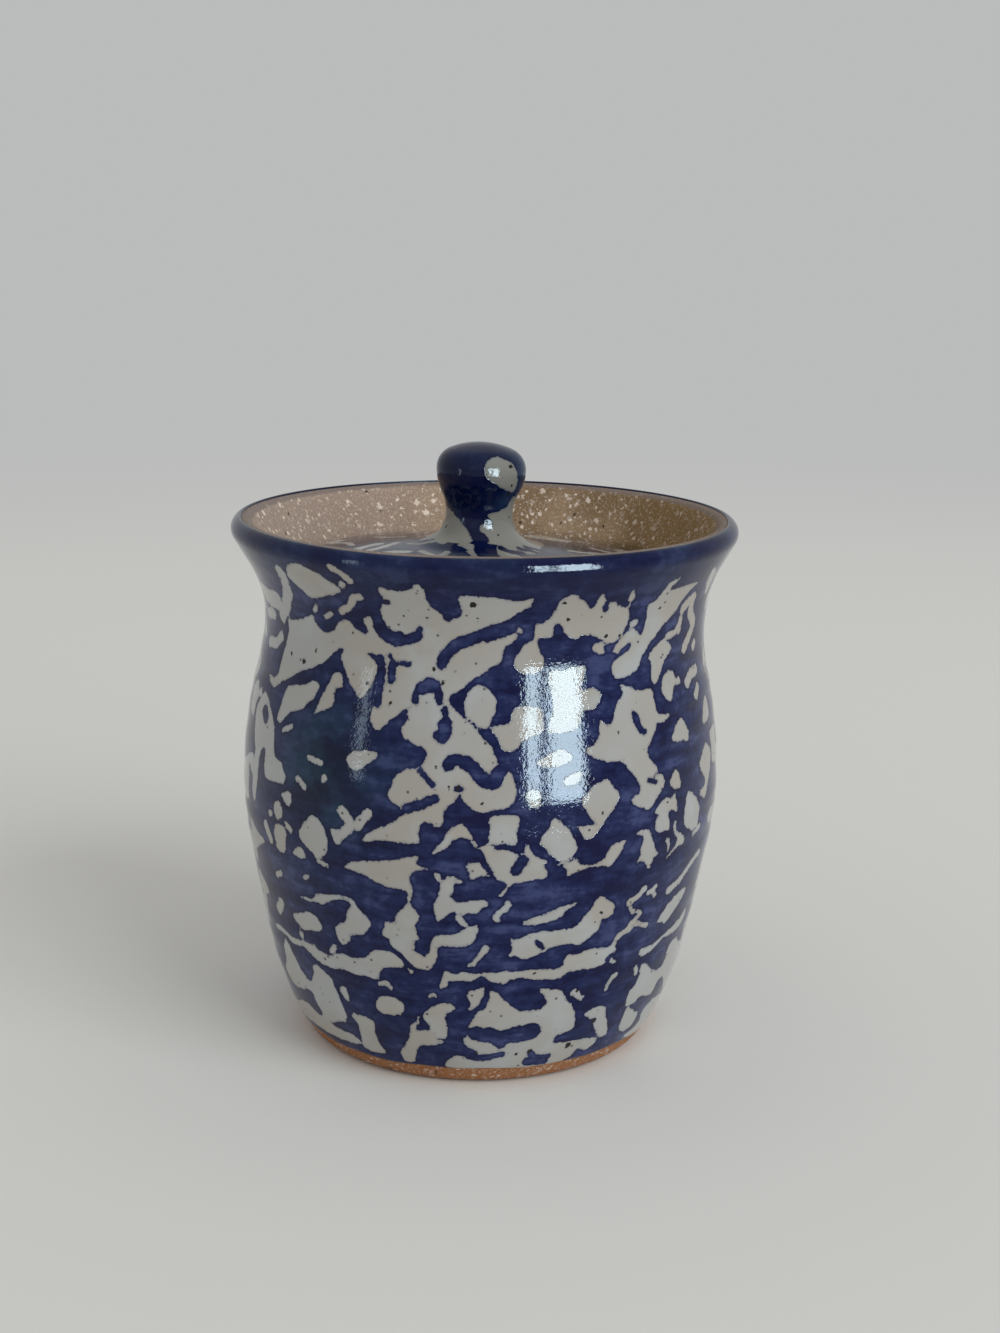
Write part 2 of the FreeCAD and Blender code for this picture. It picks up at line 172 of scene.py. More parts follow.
def handMade(x, y, z):
    # moves points: radius grows by two low swellings at given heights, by an oval cos(2a) and by
    # rings sin(z), all in proportion to the radius; x leans with the height and swells at the neck;
    # z tips with y towards the rim
    p = wheelMarks
    radius = np.hypot(x, y)
    share = radius / p["fullRadius"]
    a = np.arctan2(x, -y)
    grow = p["oval"] * np.cos(2 * a - math.radians(p["ovalTurn"]))
    for height, middle, width in (p["foot"], p["waist"]):
        grow = grow + height * np.exp(-((z - middle) / width) ** 2)
    phase = 2 * np.pi * z / p["ringSpacing"]
    low = np.interp(z, (p["ringsFrom"], p["ringsFull"], p["ringsFade"], p["ringsEnd"]), (0, 1, 1, 0))
    grow = grow + low * p["rings"] * np.sin(phase + p["ringSwing"] * np.sin(phase / p["ringSwingTurns"]))
    scale = 1 + grow * share / np.maximum(radius, 1e-6)
    aside, middle, width = p["neck"]
    lean = p["lean"] * z / p["leanHeight"] + aside * np.exp(-((z - middle) / width) ** 2)
    tip = eased(z, p["dipFrom"], p["dipTo"])
    return x * scale + lean, y * scale, z + tip * (p["rimLift"] - p["rimDip"] * y)


# the pot's own form

potForm = {
    "neckRadius": 48.1, "rimFlare": 6.9, "bellySwell": 4.5, "bellyHeight": 58.4,
    "neckRise": 36.5, "rimRise": 21.8, "ledgeRise": 5.1, "lipRound": 2.35,
    "overCurve": 26.0, "underCurve": 44.9, "turnCurve": 59.5, "turnDrop": 5.4, "wallCurve": 166.2,
    "footRound": 4.0, "ringWidth": 7.5, "dishDepth": 1.2,
    "wall": 4.5, "floor": 6.0, "floorRound": 9.0, "seatWall": 3.2, "seatDepth": 5.4,
    "ledgeWidth": 4.5, "ledgeDepth": 3.5, "liner": 0.4, "cornerWidth": 0.35,
    "clayColumns": 300, "linerColumns": 240,
}


def wallCentre():
    # the belly's turn passes into the long wall where it has come down by turnDrop; dip is the angle
    # of that point, and both centres lie on the line through it
    p = potForm
    dip = -math.asin(p["turnDrop"] / p["turnCurve"])
    turnCentre = (p["neckRadius"] + p["bellySwell"] - p["turnCurve"], p["bellyHeight"])
    return polar(turnCentre, p["turnCurve"] - p["wallCurve"], dip), turnCentre, dip


def wallLine(grow, low):
    # four arcs that touch: the long lower wall from the angle low, the belly's turn, the full
    # curve above the belly and the hollow under the neck, each moved out by grow
    p = potForm
    centre, turnCentre, dip = wallCentre()
    lean = 2 * math.atan(p["bellySwell"] / p["neckRise"])
    upper = p["neckRise"] / math.sin(lean) - p["underCurve"]
    bellyRadius = p["neckRadius"] + p["bellySwell"]
    neck = (p["neckRadius"] + p["underCurve"], p["bellyHeight"] + p["neckRise"])
    return np.vstack([
        arc(centre, p["wallCurve"] + grow, low, dip),
        arc(turnCentre, p["turnCurve"] + grow, dip, 0),
        arc((bellyRadius - upper, p["bellyHeight"]), upper + grow, 0, lean),
        arc(neck, p["underCurve"] - grow, math.pi + lean, math.pi),
    ])


def wallAngle(height):
    # the long wall's angle at a height
    centre = wallCentre()[0]
    return math.asin((height - centre[1]) / potForm["wallCurve"])


def rimLine():
    # the hollow over the neck, the straight flare that touches it and the lip's round up to its top,
    # and the lip's centre
    p = potForm
    neckZ = p["bellyHeight"] + p["neckRise"]
    over = (p["neckRadius"] + p["overCurve"], neckZ)
    lip = (p["neckRadius"] + p["rimFlare"] - p["lipRound"], neckZ + p["rimRise"] - p["lipRound"])
    across, up = lip[0] - over[0], lip[1] - over[1]
    facing = math.atan2(up, across) + math.acos((p["overCurve"] + p["lipRound"]) / math.hypot(across, up))
    return np.vstack([
        arc(over, p["overCurve"], math.pi, facing),
        line(polar(over, p["overCurve"], facing), polar(lip, p["lipRound"], facing - math.pi)),
        arc(lip, p["lipRound"], facing - math.pi, math.pi / 2),
    ]), lip


def roundInto(curve, radius, height):
    # where a small round of a given radius, resting on a level at height, touches from inside a wall
    # of a given curve: the round's centre and the angle of the touching point
    centre = wallCentre()[0]
    z = height + radius
    x = centre[0] + math.sqrt((curve - radius) ** 2 - (z - centre[1]) ** 2)
    return (x, z), math.atan2(z - centre[1], x - centre[0])


def outsideLine():
    # from the middle of the foot's dish out over the ring, up the wall and over the lip
    p = potForm
    foot, touch = roundInto(p["wallCurve"], p["footRound"], 0)
    recess = foot[0] - p["ringWidth"]
    dish = (recess ** 2 + p["dishDepth"] ** 2) / (2 * p["dishDepth"])
    return np.vstack([
        arc((0, p["dishDepth"] - dish), dish, math.pi / 2, math.acos(recess / dish)),
        line((recess, 0), (foot[0], 0)),
        arc(foot, p["footRound"], -math.pi / 2, touch),
        wallLine(0, touch), rimLine()[0],
    ])


def insideWall(grow):
    # from the middle of the floor over its corner and up the wall to the neck, grown inwards
    p = potForm
    height, wall = p["floor"] + grow, p["wall"] + grow
    corner, touch = roundInto(p["wallCurve"] - wall, p["floorRound"] - grow, height)
    return np.vstack([
        line((0, height), (corner[0], height)),
        arc(corner, p["floorRound"] - grow, -math.pi / 2, touch),
        wallLine(-wall, touch),
    ])


def seatLine():
    # from the lip's inner side down the flare to the seat, over the ledge and to the neck inside
    p = potForm
    lip = rimLine()[1]
    seat = p["neckRadius"] - p["seatWall"]
    ledge = p["bellyHeight"] + p["neckRise"] + p["ledgeRise"]
    top = (seat, ledge + p["seatDepth"])
    away = (top[0] - lip[0], top[1] - lip[1])
    facing = math.atan2(away[1], away[0]) - math.acos(p["lipRound"] / math.hypot(*away))
    facing = facing % (2 * math.pi)
    throat = seat - p["ledgeWidth"]
    neck = (p["neckRadius"] - p["wall"], p["bellyHeight"] + p["neckRise"])
    return np.vstack([
        arc(lip, p["lipRound"], math.pi / 2, facing),
        line(polar(lip, p["lipRound"], facing), top),
        line(top, (seat, ledge)), line((seat, ledge), (throat, ledge)),
        line((throat, ledge), (throat, ledge - p["ledgeDepth"])),
        line((throat, ledge - p["ledgeDepth"]), neck),
    ])


def softened(path, width, step=0.05):
    # rounds a path's corners: each point becomes the mean of its stretch of the given width,
    # while the two ends stay where they are
    run = runOf(path)
    even = np.linspace(0, run[-1], int(run[-1] / step) + 2)
    steps = max(1, int(width / step))
    out = []
    for values in path.T:
        flat = np.interp(even, run, values)
        before, after = 2 * flat[0] - flat[steps:0:-1], 2 * flat[-1] - flat[-2:-steps - 2:-1]
        padded = np.concatenate([before, flat, after])
        total = np.concatenate([[0], np.cumsum(padded)])
        out.append((total[2 * steps + 1:] - total[:-2 * steps - 1]) / (2 * steps + 1))
    return np.column_stack(out)


def capped(radius, height, angle, shape):
    # points and faces of a turned surface that starts and ends on the axis, with a fan at each end
    rows, columns = len(radius) - 2, len(angle)
    side = turned(radius[1:-1, None], height[1:-1, None], angle, shape).reshape(-1, 3)
    poles = np.array([[0, 0, height[0]], [0, 0, height[-1]]], float)
    faces = np.vstack([
        ringFaces(rows, columns, False),
        capFaces(rows * columns, 0, columns)[:, ::-1],
        capFaces(rows * columns + 1, (rows - 1) * columns, columns),
    ])
    return np.vstack([side, np.column_stack(shape(*poles.T))]), faces


def cappedPiece(name, path, spacings, columns, body, nodes, shape=handMade):
    # turns a path once round, with rows at its stations
    radius, height = sample(path, stations(path, spacings))
    points, faces = capped(radius, height, np.arange(columns) * 360 / columns, shape)
    return meshFrom(name, points, faces, body, nodes)


clayPath = np.vstack([outsideLine(), seatLine(), insideWall(0)[::-1]])
clayPath = softened(clayPath, potForm["cornerWidth"])
clayLength = runOf(clayPath)[-1]
print("clay outline", round(clayLength, 1), "mm")

# the rows stand closer over the foot's edge, and over the lip and the ledge, which lie at shares of
# the whole way
claySpacings = [(0, 2.5), (25, 2.5), (28, 0.5), (48, 0.5), (52, 2.2)]
claySpacings += [(clayLength * share, gap) for share, gap in
                 ((0.42, 2.2), (0.44, 0.6), (0.6, 0.6), (0.64, 2.2), (1, 2.2))]
potClay = cappedPiece("potClay", clayPath, claySpacings, potForm["clayColumns"], "pot",
                      ["pot_body"])


# the liner goes up along the clay, over its own edge and back down its face
linerBack = insideWall(0)
linerPath = np.vstack([linerBack, insideWall(potForm["liner"])[::-1]])
linerTop = runOf(linerBack)[-1]
linerSpacings = [(0, 3), (linerTop - 4, 2.5), (linerTop - 1, 0.3), (linerTop + 2, 0.3),
                 (linerTop + 5, 1.2), (2 * linerTop, 1.2)]
liner = cappedPiece("liner", linerPath, linerSpacings, potForm["linerColumns"], "pot",
                    ["liner_glaze"])


# the outside coat follows the clay and stops in a rounded edge above the foot and on the lip

coatForm = {
    "thickness": 0.5, "edgeRound": 1.1, "edgeLeft": 0.12, "frontStep": 0.56, "backColumns": 184,
    "frontReach": 74.0, "rows": 196, "insideRows": 26,
    "crowding": 2.5, "crowdedStart": 0.02, "crowdedEnd": 0.03,
    "pathFrom": 2.0, "start": 2.42, "startWave": ((0.22, 3, 1.0), (0.16, 7, 2.2), (0.1, 17, 0.0)),
    "endLeft": 0.2, "endFront": 0.95, "endWave": ((0.12, 5, 0.4),),
}


def coatAngles():
    # close together over the front, wider apart round the back
    p = coatForm
    front = np.arange(-p["frontReach"], p["frontReach"], p["frontStep"])
    back = np.linspace(p["frontReach"], 360 - p["frontReach"], p["backColumns"], endpoint=False)
    return np.concatenate([front, back])


def coatThickness(toEnd):
    # full thickness, rounded off like a quarter ellipse towards an end of the coat
    p = coatForm
    near = np.clip(toEnd / p["edgeRound"], 0, 1)
    return p["edgeLeft"] + (p["thickness"] - p["edgeLeft"]) * np.sqrt(1 - (1 - near) ** 2)


def besidePath(path, run, normal, place, thickness):
    # the radius and height at a distance along a path, moved out along its normal
    return tuple(np.interp(place, run, path[:, i]) + thickness * np.interp(place, run, normal[:, i])
                 for i in (0, 1))


def potCoatMesh():
    # the outer face goes up the wall and over the lip, its rows crowding towards both ends, and the
    # inner face goes back down along the clay; neither the line above the foot nor the one on the
    # lip is quite level
    p = coatForm
    path = cleared(np.vstack([wallLine(0, wallAngle(p["pathFrom"])), rimLine()[0]]))
    run, normal = runOf(path), outwardOf(path)
    angle = coatAngles()
    turn = np.radians(angle)
    start = p["start"] + ripple(turn, p["startWave"])
    end = run[-1] - p["endLeft"] - p["endFront"] * (0.5 + 0.5 * np.cos(turn)) ** 2
    end = end + ripple(turn, p["endWave"])
    outer = spread(1.0, p["rows"], lambda s: 1 + p["crowding"] * (
        np.exp(-(s / p["crowdedStart"]) ** 2) + np.exp(-((1 - s) / p["crowdedEnd"]) ** 2)))
    inner = np.linspace(1, 0, p["insideRows"])
    share = np.concatenate([outer, inner])[:, None]
    outside = np.concatenate([np.ones(len(outer)), np.zeros(len(inner))])[:, None]
    place = start[None, :] + share * (end - start)[None, :]
    thickness = outside * coatThickness(np.minimum(place - start, end - place))
    radius, height = besidePath(path, run, normal, place, thickness)
    points = turned(radius, height, angle, handMade).reshape(-1, 3)
    faces = ringFaces(len(share), len(angle), True)
    coat = meshFrom("potCoat", points, faces, "pot", ["pot_glaze"])
    return coat, np.broadcast_to(angle[None, :], radius.shape), height


potCoat, potCoatAngle, potCoatHeight = potCoatMesh()


# the lid: a clay disc with a domed top, a ball knob and one coat of glaze over both

lidForm = {
    "radius": 44.3, "ledge": 100.0, "edge": 3.9, "edgeRound": 0.8, "domeCurve": 186.2,
    "neckRadius": 6.9, "neckRise": 17.5, "neckCurve": 9.2, "headRadius": 9.3, "headRise": 26.9,
    "shoulder": 4.3, "topRise": 32.2,
    "asideAt": (107.0, 110.0, 117.5, 123.0, 134.0), "aside": (0.0, -1.67, -1.27, -1.0, -1.0),
    "asideFrom": 15.0, "asideTo": 38.0, "tilt": 0.03, "tiltFrom": 121.0, "tiltTo": 127.0,
    "slant": 0.036, "slantFrom": 32.0, "slantEdge": 0.5, "slantFade": 36.0, "domeFrom": 20.0,
    "slantLow": 109.0, "slantHigh": 114.0, "cornerWidth": 0.2, "coatInnerRows": 40,
    "discColumns": 300, "knobColumns": 96, "coatColumns": 440,
    "coatSpacings": ((0, 0.25), (2, 0.5), (32, 0.5), (36, 0.35), (80, 0.35)),
}


def offCentre(x, y, z):
    # the knob was set a little to the left and its head tips to the right: x moves by an amount that
    # depends on the height and fades with the radius, and z tips with x over the head. The dome is
    # fuller on the left: its top rises with the way to the left of slantFrom, less at the edge, and
    # not at all under the disc or up the knob
    p = lidForm
    radius = np.hypot(x, y)
    near = np.interp(radius, (p["asideFrom"], p["asideTo"]), (1, 0))
    moved = x + near * np.interp(z, p["asideAt"], p["aside"])
    full = 1 - (1 - p["slantEdge"]) * eased(radius, p["slantFade"], p["radius"])
    full = full * np.clip((z - p["ledge"]) / p["edge"], 0, 1)
    full = full * np.where(radius < p["domeFrom"], 1 - eased(z, p["slantLow"], p["slantHigh"]), 1)
    rise = p["slant"] * (p["slantFrom"] - x) * full
    return handMade(moved, y, z + rise - p["tilt"] * x * eased(z, p["tiltFrom"], p["tiltTo"]))


def lidLines():
    # the dome from the edge inwards, and the knob: a flare that touches the dome, the hollow neck, the
    # full cheek, the shoulder and the flat crown, each touching the next
    p = lidForm
    reach = p["radius"] - p["edgeRound"]
    centreZ = p["ledge"] + p["edge"] - math.sqrt(p["domeCurve"] ** 2 - reach ** 2)
    neckZ = p["ledge"] + p["neckRise"]
    away = neckZ - centreZ
    flare = p["neckRadius"] ** 2 + away ** 2 - p["domeCurve"] ** 2
    flare = flare / (2 * (p["domeCurve"] - p["neckRadius"]))
    touch = math.atan2(away, p["neckRadius"] + flare)
    headZ, topZ = p["ledge"] + p["headRise"], p["ledge"] + p["topRise"]
    lean = 2 * math.atan((p["headRadius"] - p["neckRadius"]) / (headZ - neckZ))
    cheek = (headZ - neckZ) / math.sin(lean) - p["neckCurve"]
    shoulderX, rise = p["headRadius"] - p["shoulder"], topZ - headZ
    crown = (shoulderX ** 2 + rise ** 2 - p["shoulder"] ** 2) / (2 * (rise - p["shoulder"]))
    turn = math.acos(shoulderX / (crown - p["shoulder"]))
    return arc((0, centreZ), p["domeCurve"], math.acos(reach / p["domeCurve"]), touch), np.vstack([
        arc((p["neckRadius"] + flare, neckZ), flare, math.pi + touch, math.pi),
        arc((p["neckRadius"] + p["neckCurve"], neckZ), p["neckCurve"], math.pi, math.pi - lean),
        arc((p["headRadius"] - cheek, headZ), cheek, -lean, 0),
        arc((shoulderX, headZ), p["shoulder"], 0, turn),
        arc((0, topZ - crown), crown, turn, math.pi / 2),
    ])


def discOutline():
    # from under the middle out to the rounded edge and back over the dome to the knob's seat
    p = lidForm
    edgeX, edgeZ = p["radius"] - p["edgeRound"], p["ledge"] + p["edge"]
    dome = lidLines()[0]
    return np.vstack([
        line((0, p["ledge"]), (edgeX, p["ledge"])),
        arc((edgeX, p["ledge"] + p["edgeRound"]), p["edgeRound"], -math.pi / 2, 0),
        arc((edgeX, edgeZ - p["edgeRound"]), p["edgeRound"], 0, math.pi / 2),
        dome, line(dome[-1], (0, dome[-1][1])),
    ])


discPath = softened(discOutline(), lidForm["cornerWidth"])
discSpacings = [(0, 1.5), (41, 1.5), (42.5, 0.3), (48, 0.3), (50, 1.5), (200, 1.5)]
lidClay = cappedPiece("lidClay", discPath, discSpacings, lidForm["discColumns"], "lid",
                      ["lid_disc"], offCentre)

knobPath = lidLines()[1]
knobPath = np.vstack([line((0, knobPath[0][1]), knobPath[0]), knobPath])
knobSpacings = [(0, 1.5), (60, 0.8)]
knobClay = cappedPiece("knobClay", knobPath, knobSpacings, lidForm["knobColumns"], "lid",
                       ["lid_knob"], offCentre)


def lidCoatMesh():
    # the coat's inner face follows the clay out to the edge, its outer face comes back over the knob
    p = lidForm
    path = cleared(np.vstack(lidLines()))
    run, normal = runOf(path), outwardOf(path)
    normal = normal * np.sign(normal[0, 1])
    outer = stations(path, p["coatSpacings"])
    inner = np.linspace(run[-1], 0, p["coatInnerRows"])
    place = np.concatenate([inner, outer])
    outside = np.concatenate([np.zeros(len(inner)), np.ones(len(outer))])
    radius, height = besidePath(path, run, normal, place, outside * coatThickness(place))
    angle = np.arange(p["coatColumns"]) * 360 / p["coatColumns"] - 180
    points, faces = capped(radius, height, angle, offCentre)
    coat = meshFrom("lidCoat", points, faces, "lid", ["lid_glaze"])
    return coat, radius, height, angle


lidCoat, lidCoatRadius, lidCoatHeight, lidCoatAngle = lidCoatMesh()


# the pattern: cobalt sponged and brushed over the grey ground. It is given as the blue's depth, the
# distance in millimetres from the blue's edge, positive inside the blue. Marks are placed by
# (degrees from the front, millimetres above the table).

patternForm = {
    "mmPerDegree": 0.885, "fullDepth": 4.0, "spread": 0.25, "seed": 11,
    "stampMost": 14.0, "stampLeast": 2.2, "stampScale": (0.8, 1.25), "stampTurn": 0.6, "stampJitter": 2.4,
    "strokeLength": (3, 10), "strokeBend": 0.22,
    # the back, by degrees from the front and millimetres of height
    "backFrom": 74.0, "backTo": 286.0, "firstStamp": 78.0, "lastStamp": 282.0, "lowStamp": 8.0,
    "highStamp": 106.0, "stampAcross": 9.4, "stampUp": 7.8, "stampGaps": 0.06, "backGrowth": 1.12,
    "strewnBeside": 4.0, "strewnLow": 6.0, "slipStep": 5.5, "slipSway": 1.7,
    # strewn marks: how many, their widths, and the spread of their slopes
    "backStrokes": (105, (0.7, 2.6), 0.7), "backSlips": (40, (0.5, 1.4), 0.5),
    "rimBand": 108.8, "rimWave": ((1.1, 5, 0.0), (0.8, 13, math.radians(40))),
    # the lid, in plan
    "lidStampStep": 9.6, "lidStampFrom": 13.0, "lidStampTo": 43.0, "lidGrowth": 1.2,
    "slipsFrom": 8.0, "slipsMiddle": -2.0, "slipsHalf": 15.0,
    "lidStrewn": (26, (0.8, 2.2), 0.5), "lidStrewnReach": 38.0,
    "collar": 12.6, "collarWave": ((2.1, 1, 0.0), (0.5, 3, 0.0), (0.5, 7, 1.0)),
    "knobPerDegree": 0.148, "knobReach": 10.2,
    # iron specks, and the painted shade: round one place on the pot, with a greenish painted reflection,
    # darker towards the rim, and near the knob
    "noSpeck": -2.0, "speckShare": 0.7, "speckExtra": 0.1,
    "backSpecks": 70, "speckHeights": (7, 110), "speckSizes": (0.2, 0.65),
    "shadeAngle": -38.0, "shadeHeight": 70.0, "shadeReach": 15.0,
    "rimDark": ((0.2, 106.0, 111.0), (0.5, 116.2, 116.8)),
    "lidShadeFrom": 26.0, "lidShadeOver": 6.0, "lidShade": (0.5, 1.6),
}

